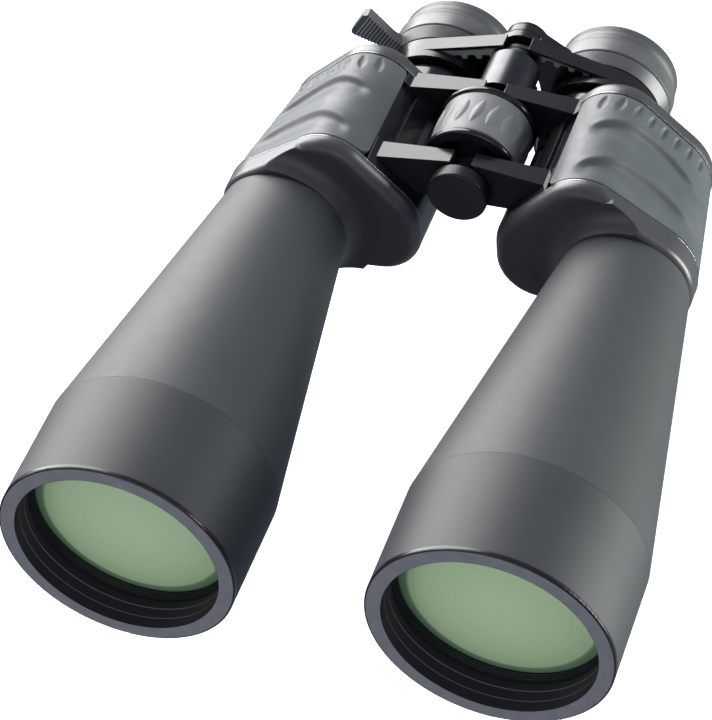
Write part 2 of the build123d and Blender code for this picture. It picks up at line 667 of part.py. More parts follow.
def prism_housing(knuckle):
    """The cast shell round the prisms with its two hinge arms; knuckle 0 is the front one of a pair."""
    armour_side = slab(past_x(ARMOUR_INNER_X - SEAT), FRONT_PARTING_Y, max(REAR_PARTING_Y, REAR_ARM_END_Y))
    shell = HOUSING_FORM - armour_side
    groove = polygon(
        flank_point(ARMOUR_INNER_X - GROOVE_WIDTH, -OVER),
        flank_point(ARMOUR_INNER_X, -OVER),
        flank_point(ARMOUR_INNER_X, GROOVE_DEPTH),
        flank_point(ARMOUR_INNER_X - GROOVE_WIDTH, GROOVE_DEPTH),
    )
    shell -= slab(groove, FRONT_ARM_END_Y, REAR_ARM_Y)
    shell += inset_housing(ARMOUR_T)
    shell -= ring(0, WHEEL_ROOM_R, FRONT_ARM_END_Y, REAR_PARTING_Y + OVER, 0, HINGE_Z)
    for front_y in (FRONT_ARM_Y, REAR_ARM_Y):
        shell += hinge_arm(front_y, *knuckle_spans(front_y)[knuckle]) - armour_side
    posts = screw_bosses(REAR_PARTING_Y - SCREW_BOSS_LENGTH, REAR_PARTING_Y)
    shell -= slab(CAVITY, FRONT_PARTING_Y, REAR_PARTING_Y) - posts
    for spot in screw_spots():
        shell -= screw_shape(SEAT).moved(spot)
    shell -= slab(offset(REAR_OUTLINE, FREE), REAR_PARTING_Y, REAR_ARM_END_Y + OVER)
    bore = HINGE_PIN_R + (RUNNING if knuckle else SEAT)
    return shell - ring(0, bore, FRONT_ARM_Y - OVER, REAR_ARM_END_Y + OVER, 0, HINGE_Z)


def armour():
    """The rubber skin over the top, outside and belly of the housing."""
    y0 = FRONT_PARTING_Y + FREE
    y1 = REAR_PARTING_Y - FREE
    skin = HOUSING_FORM - inset_housing(ARMOUR_T - SEAT)
    skin &= slab(past_x(ARMOUR_INNER_X), y0, y1)
    for back in FINGER_HOLLOWS:
        top, shoulder = housing_corners(back / HOUSING_LENGTH)[0:2]
        slope = math.degrees(math.atan2(shoulder.Y - top.Y, shoulder.X - top.X))
        out = Vector(0, 1).rotate(Axis.Z, slope)
        middle = (top + shoulder) * 0.5 + out * (FINGER_HOLLOW_R - FINGER_HOLLOW_DEPTH)
        roller = Cylinder(FINGER_HOLLOW_R, 2 * (shoulder - top).length, rotation=(0, 90, 0))
        skin -= Pos(middle.X, FRONT_PARTING_Y + back, middle.Y) * Rot(0, -slope, 0) * roller
    for pocket in pocket_places():
        skin -= spindle(POCKET_LENGTH, POCKET_HALF_WIDTH).moved(pocket)
    return skin


def pocket_places():
    """Places for the pockets' cutters along the outline, starting at the armour's inner edge."""
    path = outline_wire(1 - POCKET_BACK / HOUSING_LENGTH)
    start = path.param_at_point(flank_point(ARMOUR_INNER_X, 0)) * path.length
    ahead = path.position_at(start + OVER, position_mode=PositionMode.LENGTH)
    direction = 1 if ahead.X > ARMOUR_INNER_X else -1
    places = []
    for i in range(POCKET_COUNT):
        length = (start + direction * (POCKET_FIRST + i * POCKET_STEP)) % path.length
        point = path.position_at(length, position_mode=PositionMode.LENGTH)
        along = path.tangent_at(length, position_mode=PositionMode.LENGTH) * direction
        out = Vector(-along.Y, along.X)
        centre = point + out * (POCKET_HALF_WIDTH - POCKET_DEPTH)
        facing = math.degrees(math.atan2(out.X, out.Y))
        place = Pos(centre.X, REAR_PARTING_Y - POCKET_BACK, centre.Y) * Rot(0, facing, 0)
        places.append(place * Rot(0, 0, -POCKET_LEAN))
    return places


# The light path folds over one middle axis, at the right-angled corner above the two optical axes.
OBJECTIVE_AXIS = Vector(OBJECTIVE_X, 0)
EYE_AXIS = Vector(EYE_X, EYE_Z)
HALF_STEP = (OBJECTIVE_AXIS - EYE_AXIS) * 0.5
MIDDLE_AXIS = (OBJECTIVE_AXIS + EYE_AXIS) * 0.5 + Vector(-HALF_STEP.Y, HALF_STEP.X)
PRISM_ROOM = inner_outline(FREE)


def prism_frame(first, second):
    """The middle of a prism's long face and the direction from one light axis to the other, in degrees."""
    middle = (first + second) * 0.5
    return middle, math.degrees(math.atan2(second.Y - first.Y, second.X - first.X))


def prism(first, second, face_y, sense):
    """A right-angled prism that folds light from one axis to the other; sense +1 points its tip back."""
    middle, turn = prism_frame(first, second)
    half = PRISM_DEPTH
    tip = PRISM_TIP_FLAT / 2
    section = polygon((-half, 0), (half, 0), (tip, sense * (half - tip)), (-tip, sense * (half - tip)))
    body = Pos(0, 0, -PRISM_WIDTH / 2) * extrude(section, amount=PRISM_WIDTH, dir=(0, 0, 1))
    body = Pos(middle.X, face_y, middle.Y) * Rot(0, -turn, 0) * body
    return body & slab(PRISM_ROOM, FRONT_PARTING_Y - COVER_WALL, REAR_PARTING_Y + COVER_WALL)


def front_prism():
    """The prism in front of the shelf; it hands the light on to the eyepiece."""
    return prism(MIDDLE_AXIS, EYE_AXIS, SHELF_Y, -1)


def rear_prism():
    """The prism behind the shelf; it takes the light from the objective."""
    return prism(OBJECTIVE_AXIS, MIDDLE_AXIS, SHELF_Y + SHELF_T, 1)


def prism_shelf():
    """The plate that carries both prisms, with a hole on each light axis."""
    shelf = slab(inner_outline(SEAT), SHELF_Y, SHELF_Y + SHELF_T)
    for axis in (OBJECTIVE_AXIS, MIDDLE_AXIS, EYE_AXIS):
        shelf -= ring(0, LIGHT_HOLE_R, SHELF_Y, SHELF_Y + SHELF_T, axis.X, axis.Y)
    return shelf


def prism_clip(first, second, face_y, sense):
    """A spring strap over a prism's tip, with legs down its sides to the shelf."""
    middle, turn = prism_frame(first, second)
    rise = PRISM_DEPTH - PRISM_TIP_FLAT / 2
    half_w = PRISM_WIDTH / 2
    outer = half_w + CLIP_T
    strap = block(-CLIP_WIDTH / 2, CLIP_WIDTH / 2, 0, rise + CLIP_T, -outer, outer)
    strap -= block(-CLIP_WIDTH, CLIP_WIDTH, -OVER, rise, -half_w, half_w)
    if sense < 0:
        strap = mirror(strap, about=Plane.XZ)
    return Pos(middle.X, face_y, middle.Y) * Rot(0, -turn, 0) * strap


def prism_clips():
    """The two straps of one half."""
    return [
        prism_clip(MIDDLE_AXIS, EYE_AXIS, SHELF_Y, -1),
        prism_clip(OBJECTIVE_AXIS, MIDDLE_AXIS, SHELF_Y + SHELF_T, 1),
    ]


def eyepiece_tube():
    """The tube that carries the whole eyepiece; its slim stem slides in the guide bush."""
    stem_y = REAR_PARTING_Y + EYE_STEM_BACK
    stem_bore = EYE_STEM_R - EYE_TUBE_WALL
    step_y = CLAMP_Y + EYE_TUBE_WALL
    return turned(
        [
            (stem_bore, stem_y),
            (EYE_STEM_R, stem_y),
            (EYE_STEM_R, CLAMP_Y),
            (EYE_TUBE_R, CLAMP_Y),
            (EYE_TUBE_R, EYE_TUBE_REAR_Y),
            (EYE_TUBE_BORE_R, EYE_TUBE_REAR_Y),
            (EYE_TUBE_BORE_R, step_y),
            (stem_bore, step_y),
        ],
        EYE_X,
        EYE_Z,
    )


def zoom_cell():
    """The sliding cell of the zoom lens inside the eyepiece tube."""
    inner = ZOOM_CELL_R - ZOOM_CELL_WALL
    rear_y = ZOOM_CELL_Y + ZOOM_CELL_LENGTH
    floor_y = rear_y - ZOOM_CELL_WALL
    return turned(
        [
            (inner, ZOOM_CELL_Y),
            (ZOOM_CELL_R, ZOOM_CELL_Y),
            (ZOOM_CELL_R, rear_y),
            (inner - ZOOM_CELL_WALL, rear_y),
            (inner - ZOOM_CELL_WALL, floor_y),
            (inner, floor_y),
        ],
        EYE_X,
        EYE_Z,
    )


def zoom_lens():
    """The lens in the zoom cell."""
    floor_y = ZOOM_CELL_Y + ZOOM_CELL_LENGTH - ZOOM_CELL_WALL
    radius = ZOOM_CELL_R - ZOOM_CELL_WALL - SEAT
    return lens(radius, floor_y - ZOOM_LENS_EDGE_T, floor_y, ZOOM_LENS_SAG, 0, EYE_X, EYE_Z)


def zoom_ring():
    """The turning collar of the eyepiece; its neck is the pulley of the zoom belt."""
    bore = EYE_TUBE_R + RUNNING
    return turned(
        [
            (bore, BRIDGE_FRONT_Y + FREE),
            (ZOOM_NECK_R, BRIDGE_FRONT_Y + FREE),
            (ZOOM_NECK_R, RING_FRONT_Y),
            (RING_FRONT_R, RING_FRONT_Y),
            (RING_REAR_R, RING_REAR_Y - RING_EDGE),
            (RING_REAR_R - RING_EDGE, RING_REAR_Y),
            (bore, RING_REAR_Y),
        ],
        EYE_X,
        EYE_Z,
    )


def ocular_ring():
    """The ring that closes the eyepiece and seats the eye lens; on the left half it is the dioptre ring."""
    bore = EYE_TUBE_R + RUNNING
    return turned(
        [
            (bore, OCULAR_FRONT_Y),
            (RING_REAR_R - RING_EDGE, OCULAR_FRONT_Y),
            (RING_REAR_R, OCULAR_FRONT_Y + RING_EDGE),
            (OCULAR_R, OCULAR_END_Y - RING_EDGE),
            (OCULAR_R, OCULAR_END_Y),
            (EYE_LENS_R + SEAT, OCULAR_END_Y),
            (EYE_LENS_R + SEAT, EYE_LENS_Y),
            (EYE_LENS_R - OCULAR_LEDGE, EYE_LENS_Y),
            (EYE_LENS_R - OCULAR_LEDGE, OCULAR_FLOOR_Y),
            (bore, OCULAR_FLOOR_Y),
        ],
        EYE_X,
        EYE_Z,
    )


def eye_lens():
    """The lens nearest the eye."""
    return lens(EYE_LENS_R, EYE_LENS_Y, EYE_LENS_Y + EYE_LENS_EDGE_T, 0, EYE_LENS_SAG, EYE_X, EYE_Z)


def eyecup():
    """The soft rubber eyecup: a waist, a rolled bead and a wide mouth."""
    return turned(
        [
            (EYECUP_FOOT_R, OCULAR_END_Y),
            (OCULAR_R, OCULAR_END_Y),
            (EYECUP_WAIST_R, OCULAR_END_Y + EYECUP_LENGTH / 4),
            (EYECUP_ROLL_R, OCULAR_END_Y + EYECUP_LENGTH / 2),
            (EYECUP_ROLL_R, EYECUP_END_Y - EYECUP_LIP_T),
            (EYECUP_LIP_R, EYECUP_END_Y),
            (EYECUP_MOUTH_R + EYECUP_LIP_T, EYECUP_END_Y),
            (EYECUP_MOUTH_R, EYECUP_END_Y - EYECUP_LIP_T),
        ],
        EYE_X,
        EYE_Z,
    )


def two_circles(eye_r, hub_r):
    """The outline round the eyepiece axis and the hinge axis that a belt would take."""
    eye = Pos(EYE_X, EYE_Z) * Circle(eye_r)
    hub = HINGE_SPOT * Circle(hub_r)
    return make_hull(eye.edges() + hub.edges())


def bridge_side():
    """This half's side of the bridge; below the hinge it leans away, so that the halves can fold together."""
    lean = FAR * math.tan(math.radians(FOLD_IN / 2))
    return polygon(
        (BRIDGE_CHEEK_X, FAR),
        (BRIDGE_CHEEK_X, HINGE_Z),
        (BRIDGE_CHEEK_X + lean, HINGE_Z - FAR),
        (2 * FAR, HINGE_Z - FAR),
        (2 * FAR, FAR),
    )


def bridge_arm(ring_y, play):
    """A channel that carries the eyepiece and hides the belt, with a ring on the focus rod at ring_y."""
    ring_end = ring_y + HUB_RING_T
    own_side = bridge_side()
    outside = two_circles(BRIDGE_EYE_R, BRIDGE_HUB_R) & own_side
    inside = two_circles(BRIDGE_EYE_R - BRIDGE_RIM_T, BRIDGE_HUB_R - BRIDGE_RIM_T)
    arm = slab(outside, BRIDGE_FRONT_Y, BRIDGE_REAR_Y) - slab(inside, BRIDGE_FRONT_Y, BRIDGE_PLATE_Y)
    web = slab(two_circles(HUB_RING_R, HUB_RING_R) & own_side, BRIDGE_REAR_Y, ring_end)
    arm += web - ring(0, HUB_RING_R + FREE, BRIDGE_REAR_Y, ring_y, 0, HINGE_Z)
    arm -= ring(0, RING_REAR_R + 2 * FREE, BRIDGE_REAR_Y, ring_end, EYE_X, EYE_Z)
    arm -= ring(0, ZOOM_NECK_R + FREE, BRIDGE_FRONT_Y, BRIDGE_REAR_Y, EYE_X, EYE_Z)
    arm += ring(EYE_TUBE_R + SEAT, BRIDGE_EYE_R, CLAMP_Y, BRIDGE_FRONT_Y, EYE_X, EYE_Z)
    arm += ring(0, HUB_RING_R, ring_y, ring_end, 0, HINGE_Z)
    return arm - ring(0, ROD_NECK_R + play, BRIDGE_FRONT_Y, ring_end, 0, HINGE_Z)


def zoom_belt(y):
    """The toothed zoom belt round the eyepiece's collar and the pulley on the hinge axis."""
    loop = slab(two_circles(BELT_EYE_R + BELT_T, BELT_HUB_R + BELT_T), y, y + BELT_WIDTH)
    loop -= slab(two_circles(BELT_EYE_R, BELT_HUB_R), y, y + BELT_WIDTH)
    reach = Vector(-EYE_X, HINGE_Z - EYE_Z)
    heading = math.degrees(math.atan2(reach.Y, reach.X))
    spread = math.degrees(math.asin((BELT_EYE_R - BELT_HUB_R) / reach.length))
    run = reach.length * math.cos(math.radians(spread))
    eye_margin = math.sqrt(2 * BELT_EYE_R * BELT_TOOTH_H) + BELT_TOOTH_W / 2
    hub_margin = math.sqrt(2 * BELT_HUB_R * BELT_TOOTH_H) + BELT_TOOTH_W / 2
    count = int((run - eye_margin - hub_margin) / BELT_TOOTH_PITCH) + 1
    tooth = block(-BELT_TOOTH_W / 2, BELT_TOOTH_W / 2, 0, BELT_WIDTH, -BELT_TOOTH_H, BELT_T / 2)
    for side in (-1, 1):
        normal = Vector(1, 0).rotate(Axis.Z, heading + side * (90 - spread))
        along = normal.rotate(Axis.Z, -side * 90)
        turn = math.degrees(math.atan2(normal.Y, normal.X)) - 90
        for i in range(count):
            spot = EYE_AXIS + normal * BELT_EYE_R + along * (eye_margin + i * BELT_TOOTH_PITCH)
            loop += Pos(spot.X, y, spot.Y) * Rot(0, -turn, 0) * tooth
    return loop


# Pieces on the hinge axis, in the middle


def hinge_pin():
    """The front hinge pin; its head holds the tripod socket, and its tail carries the focus wheel."""
    head_end = knuckle_spans(FRONT_ARM_Y)[0][0]
    pin = ring(0, BOSS_R, BOSS_FRONT_Y, CAP_REAR_Y + FREE, 0, HINGE_Z)
    pin += ring(0, BOSS_NECK_R, BOSS_FRONT_Y, head_end, 0, HINGE_Z)
    pin += ring(0, HINGE_PIN_R, head_end, PIN_END_Y, 0, HINGE_Z)
    return pin - ring(0, SOCKET_R, BOSS_FRONT_Y, BOSS_FRONT_Y + SOCKET_DEPTH, 0, HINGE_Z)


def tripod_cap():
    """The round screw cap over the tripod socket."""
    cap = ring(0, CAP_R, CAP_FRONT_Y, CAP_REAR_Y, 0, HINGE_Z)
    cap = fillet(front_edges(cap), CAP_EDGE_R)
    return cap - ring(0, BOSS_R + RUNNING, CAP_FRONT_Y + CAP_FACE_T, CAP_REAR_Y, 0, HINGE_Z)


def hinge_washers():
    """A brass washer between the two knuckles of each pair of arms."""
    washers = []
    for front_y in (FRONT_ARM_Y, REAR_ARM_Y):
        (_, y0), (y1, _) = knuckle_spans(front_y)
        washers.append(ring(HINGE_PIN_R + SEAT, WASHER_R, y0, y1, 0, HINGE_Z))
    return washers


def focus_wheel():
    """The core of the focus wheel with its two glossy rims; its thread drives the focus rod."""
    wheel = turned(
        [
            (0, WHEEL_FRONT_Y),
            (WHEEL_R, WHEEL_FRONT_Y),
            (WHEEL_R, WHEEL_FRONT_Y + WHEEL_RIM_W),
            (WHEEL_DRUM_R, WHEEL_FRONT_Y + WHEEL_RIM_W),
            (WHEEL_DRUM_R, WHEEL_REAR_Y - WHEEL_RIM_W),
            (WHEEL_R, WHEEL_REAR_Y - WHEEL_RIM_W),
            (WHEEL_R, WHEEL_REAR_Y),
            (0, WHEEL_REAR_Y),
        ],
        0,
        HINGE_Z,
    )
    wheel = fillet(wheel.edges().filter_by(GeomType.CIRCLE).filter_by(on_rim), WHEEL_RIM_EDGE_R)
    bearing = HINGE_PIN_R + RUNNING
    for face_y, inwards in ((WHEEL_FRONT_Y, 1), (WHEEL_REAR_Y, -1)):
        recess = sorted((face_y, face_y + inwards * WHEEL_RECESS))
        journal = sorted((face_y, face_y + inwards * (JOURNAL + FREE)))
        wheel -= ring(WHEEL_HUB_R, WHEEL_RECESS_R, *recess, 0, HINGE_Z)
        wheel -= ring(0, bearing, *journal, 0, HINGE_Z)
    return wheel - ring(0, ROD_R + RUNNING, WHEEL_FRONT_Y, WHEEL_REAR_Y, 0, HINGE_Z)


def on_rim(edge):
    """Whether a round edge is one of the four outer edges of the wheel's rims."""
    return abs(edge.radius - WHEEL_R) < SEAT


def wheel_grip():
    """The rubber band on the focus wheel, with leaning lens-shaped bumps."""
    y0 = WHEEL_FRONT_Y + WHEEL_RIM_W
    y1 = WHEEL_REAR_Y - WHEEL_RIM_W
    grip = ring(0, GRIP_R, y0, y1, 0, HINGE_Z)
    bump = Rot(GRIP_BUMP_TILT, 0, 0) * spindle(GRIP_BUMP_LENGTH, GRIP_BUMP_HALF_WIDTH)
    bump = Pos(GRIP_R - GRIP_BUMP_SINK, (y0 + y1) / 2, 0) * bump
    for i in range(GRIP_BUMPS):
        grip += Pos(0, 0, HINGE_Z) * Rot(0, i * 360 / GRIP_BUMPS, 0) * bump
    return grip - ring(0, WHEEL_DRUM_R + SEAT, y0, y1, 0, HINGE_Z)


def focus_tube():
    """The dark-chromed tube behind the hinge; its slim front end is the rear hinge pin."""
    rod_bore = ROD_R + RUNNING
    front_y = WHEEL_REAR_Y - JOURNAL
    inner = TUBE_R - TUBE_WALL
    return turned(
        [
            (rod_bore, front_y),
            (HINGE_PIN_R, front_y),
            (HINGE_PIN_R, TUBE_FRONT_Y),
            (TUBE_R, TUBE_FRONT_Y),
            (TUBE_R, TUBE_REAR_Y - TUBE_CHAMFER),
            (TUBE_R - TUBE_CHAMFER, TUBE_REAR_Y),
            (rod_bore, TUBE_REAR_Y),
            (rod_bore, TUBE_REAR_Y - 2 * TUBE_WALL),
            (inner, TUBE_REAR_Y - 2 * TUBE_WALL),
            (inner, TUBE_FRONT_Y + TUBE_WALL),
            (rod_bore, TUBE_FRONT_Y + TUBE_WALL),
        ],
        0,
        HINGE_Z,
    )


def focus_rod():
    """The rod that the focus wheel drives; it carries the bridge."""
    start = PIN_END_Y + FOCUS_IN + 2 * FREE
    neck_y = RIGHT_BELT_Y - FREE
    rod = ring(0, ROD_R, start, neck_y, 0, HINGE_Z)
    return rod + ring(0, ROD_NECK_R, neck_y, HUB_REAR_Y, 0, HINGE_Z)


def zoom_pulley():
    """The small double pulley that hands the zoom from one belt to the other."""
    return ring(ROD_NECK_R + RUNNING, PULLEY_R, RIGHT_BELT_Y, LEFT_BELT_Y + BELT_WIDTH, 0, HINGE_Z)


def bridge_cap():
    """The domed cap on the end of the focus rod."""
    dome = [
        (0, HUB_REAR_Y),
        (HUB_RING_R, HUB_REAR_Y),
        (HUB_RING_R, HUB_REAR_Y + HUB_CAP_EDGE),
        (HUB_CAP_TOP_R, HUB_REAR_Y + HUB_CAP_FALL),
        (0, HUB_REAR_Y + HUB_CAP_T),
    ]
    return turned(dome, 0, HINGE_Z)


def zoom_ring_envelope():
    """The space of the zoom ring's collar, which the lever's root fits round."""
    return turned(
        [
            (0, RING_FRONT_Y - OVER),
            (RING_FRONT_R + SEAT, RING_FRONT_Y - OVER),
            (RING_FRONT_R + SEAT, RING_FRONT_Y),
            (RING_REAR_R + SEAT, RING_REAR_Y - RING_EDGE),
            (RING_REAR_R + SEAT, RING_REAR_Y + OVER),
            (0, RING_REAR_Y + OVER),
        ],
        EYE_X,
        EYE_Z,
    )


def zoom_lever():
    """The flat ribbed thumb lever on the right eyepiece's collar, drawn for the left side."""
    start_r = RING_FRONT_R - OVER
    neck_r = RING_REAR_R + LEVER_ROOT_LENGTH
    bevel = LEVER_TIP_BEVEL
    paddle = polygon(
        (start_r, -LEVER_ROOT_HALF_W),
        (neck_r, -LEVER_ROOT_HALF_W),
        (LEVER_TIP_R - bevel, -LEVER_TIP_HALF_W),
        (LEVER_TIP_R, -LEVER_TIP_HALF_W + bevel),
        (LEVER_TIP_R, LEVER_TIP_HALF_W - bevel),
        (LEVER_TIP_R - bevel, LEVER_TIP_HALF_W),
        (neck_r, LEVER_ROOT_HALF_W),
        (start_r, LEVER_ROOT_HALF_W),
    )
    lever = slab(paddle, LEVER_FRONT_Y, LEVER_FRONT_Y + LEVER_T)
    groove_end = LEVER_FRONT_Y + LEVER_RIB_DEPTH
    for i in range(LEVER_RIBS):
        r = LEVER_TIP_R - bevel - i * LEVER_RIB_STEP
        lever -= block(r - LEVER_RIB_STEP / 2, r, LEVER_FRONT_Y - OVER, groove_end, -FAR, FAR)
    lever = Pos(EYE_X, 0, EYE_Z) * Rot(0, -(180 - LEVER_ANGLE), 0) * lever
    return lever - zoom_ring_envelope()


def as_list(shape):
    """The solids of a shape, or of a list of shapes."""
    shapes = shape if isinstance(shape, list) else [shape]
    return [solid for piece in shapes for solid in piece.solids()]


def mirrored(shape):
    """The same piece for the right half."""
    return [mirror(solid, about=Plane.YZ) for solid in as_list(shape)]


def lay_down(solid):
    """Turn a solid nose up onto its sleeves and eyecups, with the origin under the middle."""
    laid = solid.rotate(Axis.X, -REST_TILT)
    return laid.moved(Location((0, -(REST_FRONT + REST_BACK) / 2, REST_HEIGHT)))


def save(name, shape):
    """Write one piece as it lies."""
    solids = [lay_down(solid) for solid in as_list(shape)]
    export_step(solids[0] if len(solids) == 1 else Compound(solids), f"parts/{name}.step")


os.makedirs("parts", exist_ok=True)

both_sides = (
    objective_sleeve,
    objective_bezel,
    lens_retaining_ring,
    objective_cell,
    objective_doublet,
    objective_barrel,
    front_cover,
    rear_cover,
    cover_screws,
    guide_bush,
    armour,
    front_prism,
    rear_prism,
    prism_shelf,
    prism_clips,
    eyepiece_tube,
    zoom_cell,
    zoom_lens,
    zoom_ring,
    ocular_ring,
    eye_lens,
    eyecup,
)
for piece in both_sides:
    shape = piece()
    save(f"left_{piece.__name__}", shape)
    save(f"right_{piece.__name__}", mirrored(shape))

save("left_prism_housing", prism_housing(1))
save("right_prism_housing", mirrored(prism_housing(0)))
save("left_bridge_arm", bridge_arm(HUB_LEFT_Y, RUNNING))
save("right_bridge_arm", mirrored(bridge_arm(HUB_FRONT_Y, SEAT)))
save("left_zoom_belt", zoom_belt(LEFT_BELT_Y))
save("right_zoom_belt", mirrored(zoom_belt(RIGHT_BELT_Y)))
save("zoom_lever", mirrored(zoom_lever()))

for piece in (
    hinge_pin,
    hinge_washers,
    tripod_cap,
    focus_wheel,
    wheel_grip,
    focus_tube,
    focus_rod,
    zoom_pulley,
    bridge_cap,
):
    save(piece.__name__, piece())

print("rest tilt", round(REST_TILT, 5), "shift", -(REST_FRONT + REST_BACK) / 2, REST_HEIGHT)
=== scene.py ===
import math

import bmesh
import bpy
from mathutils import Matrix, Vector


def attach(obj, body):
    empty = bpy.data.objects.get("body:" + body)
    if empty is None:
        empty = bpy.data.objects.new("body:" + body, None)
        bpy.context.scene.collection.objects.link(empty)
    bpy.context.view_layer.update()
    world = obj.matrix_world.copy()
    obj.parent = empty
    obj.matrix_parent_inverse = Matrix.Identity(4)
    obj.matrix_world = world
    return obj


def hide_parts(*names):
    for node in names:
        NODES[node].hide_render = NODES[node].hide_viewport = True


# Large zoom binoculars of the Porro-prism kind, as they lie on their front sleeves and eyecups.
# Sizes are in millimetres, in the optical frame: X across, Y from the front rims back to the eyecups,
# Z up from the objective axes. OPTICAL lays that frame down as the solids lie.

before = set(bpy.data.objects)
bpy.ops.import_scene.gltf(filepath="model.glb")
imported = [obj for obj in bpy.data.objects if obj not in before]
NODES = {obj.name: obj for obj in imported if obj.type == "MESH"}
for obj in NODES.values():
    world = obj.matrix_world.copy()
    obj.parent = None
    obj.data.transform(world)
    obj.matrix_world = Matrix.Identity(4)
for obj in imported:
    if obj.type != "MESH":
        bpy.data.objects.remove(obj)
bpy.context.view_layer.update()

MM = 0.001
REST_TILT = math.radians(4.0428)
REST_Y = -138.88569
REST_Z = 45.12004
OPTICAL = Matrix.Translation((0, REST_Y * MM, REST_Z * MM)) @ Matrix.Rotation(-REST_TILT, 4, "X")

# Camera, from the photograph's perspective
CAMERA_AT = (257.409, -530.671, 719.094)
CAMERA_RIGHT = (0.943673, 0.322580, -0.073647)
CAMERA_DOWN = (0.185332, -0.699695, -0.689985)
CAMERA_AHEAD = (-0.274106, 0.637471, -0.720067)
CAMERA_LENS = 141.961
CAMERA_SENSOR = 36.0

# Table and light, in metres; the table lies low enough for the half that folds down
TABLE_HALF = 4
TABLE_DROP = 0.032
TABLE_GLOW = 0.9
TABLE_TINTS = ((0.9, 0.9, 0.9), (0.93, 0.93, 0.93))
SKY = (0.68, 0.79, 1, 1)
SKY_STRENGTH = 0.29
# Each lamp: degrees from straight behind towards the right, degrees up, distance, width and height,
# radiance, colour
LAMPS = (
    ("key_lamp", -50, 24, 1.6, (1.6, 1.7), 8.3, (1, 0.985, 0.965)),
    ("fill_lamp", 76, 1, 1.5, (0.5, 1.3), 17.0, (0.97, 1, 0.94)),
    ("front_lamp", 186, 8, 1.8, (1.6, 0.9), 2.0, (1, 1, 1)),
)

# Axes
OBJECTIVE_X = 64.8
EYE_X = 32.1
EYE_Z = -1.9
HINGE_Z = 19.5

# Front ends and lenses; each pale line in the bezel's bore is (y, width)
BEZEL_WALL_END_R = 36.55
BEZEL_FACE_START_R = 36.65
BORE_LINES = ((4.2, 0.3), (8.4, 0.4))
SLEEVE_LIP_END = 1.6
SLEEVE_LIP_BLUR = 0.3
OBJECTIVE_GLASS_R = 37.0
EYE_GLASS_R = 14.0
GLASS_IOR = 1.52

# Prism housing, whose outer side draws in towards the rear
HOUSING_TOP = (46.2, 43.6)
HOUSING_OUTER_X = 89.5
HOUSING_DRAW_IN = 7.5
HOUSING_SHOULDER_Z = 14.0
HOUSING_SHOULDER_DROP = 3.0
HOUSING_FOOT_Z = -26.2
HOUSING_INNER_FOOT = (14.7, -19.1)
HOUSING_WAIST = (14.7, 10.8)
HOUSING_RADII = (16.5, 22.5, 23.5, 17.0, 20.0)
FRONT_PARTING = 175.0
REAR_PARTING = 225.0
OUTLINE_BEND_STEPS = 24
OUTLINE_RUN_STEPS = 12

# Silver bead in the housing's parting lines
TRIM_HALF_W = 0.2
TRIM_PROUD = 0.1
TRIM_DEPTH = 0.6
TRIM_INSET = 0.15

# Rounded edges of the armour and the wheel's grip
RUBBER_EDGE_R = 0.8

# Rubber armour: two finger hollows, a row of pockets, rounded corners at the inner edge
ARMOUR_INNER_X = 33.5
ARMOUR_T = 1.75
ARMOUR_GAP = 0.55
ARMOUR_MIN_T = 0.2
ARMOUR_STEP = 0.6
ARMOUR_BEND_STEPS = (40, 36, 44)
ARMOUR_RUN_STEPS = (8, 42, 3, 26)
ARMOUR_FRONT_CORNER = 5.5
ARMOUR_REAR_CORNER = 3.0
# Each hollow: the y of its crest's rearmost point, that point's place on the path, its front edge's y
HOLLOWS = ((191.2, 37.0, 176.0), (211.3, 34.0, 198.5))
HOLLOW_HALF_SPAN = 23.0
HOLLOW_BOW = 5.7
HOLLOW_BOW_LIMIT = 1.6
HOLLOW_MIN_LENGTH = 3.0
HOLLOW_DEPTH = 1.5
HOLLOW_STEEP = 0.22
HOLLOW_INNER_END = 9.5
HOLLOW_INNER_FADE = 6.0
HOLLOW_OUTER_END = 64.0
HOLLOW_OUTER_FADE = 16.0
SWELL = 0.45
SWELL_LENGTH = 6.0
SWELL_RISE = 0.15
POCKETS = 8
POCKET_Y = 218.9
POCKET_FIRST = 12.0
POCKET_PITCH = 6.6
POCKET_LEAN = math.radians(8)
POCKET_HALF_L = 4.0
POCKET_HALF_W = 1.55
POCKET_DEPTH = 0.85
POCKET_FULLNESS = 0.6

# Focus wheel
WHEEL_FRONT = 190.2
WHEEL_REAR = 216.2
WHEEL_RIM = 2.4
GRIP_R = 17.4
GRIP_BORE_R = 15.95
GRIP_BUMPS = 18
GRIP_LEAN = math.radians(10)
GRIP_BUMP_HALF_L = 6.0
GRIP_BUMP_HALF_W = 1.9
GRIP_BUMP_H = 0.6
GRIP_GAP = 0.03
GRIP_STEPS_PER_BUMP = 20
GRIP_ROWS = 48

# Eyecups; the pairs are (radius, distance behind the ocular ring)
OCULAR_END = 270.7
EYECUP_END = 280.0
EYECUP_FOOT_R = 16.7
EYECUP_BAND_R = 23.6
EYECUP_BAND_ROUND = (23.7, 0.45)
EYECUP_BAND_ROUND_R = 0.45
EYECUP_WAIST = ((23.2, 1.3), (22.8, 2.1), (22.75, 2.7), (23.0, 3.4), (23.15, 4.3), (23.2, 5.2))
EYECUP_LINES = 3
EYECUP_LINE_FIRST = 5.6
EYECUP_LINE_PITCH = 0.8
EYECUP_LINE_W = 0.24
EYECUP_LINE_R = 23.2
EYECUP_LINE_FLOOR_R = 23.05
EYECUP_LIP_ROUND = 1.2
EYECUP_LIP_OUTER_R = 21.95
EYECUP_LIP_INNER_R = 19.5
EYECUP_THROAT = ((17.9, 5.5), (17.2, 2.5))
EYECUP_SEGMENTS = 112

# Zoom lever, with ribs across it; each rib's crest gets a painted highlight, placed by its share of a step
LEVER_RISE = math.radians(33)
LEVER_FRONT = 258.3
LEVER_RIB_FIRST = 39.5
LEVER_RIB_STEP = 1.35
LEVER_CREST_AT = 0.75
LEVER_CREST_W = 0.4

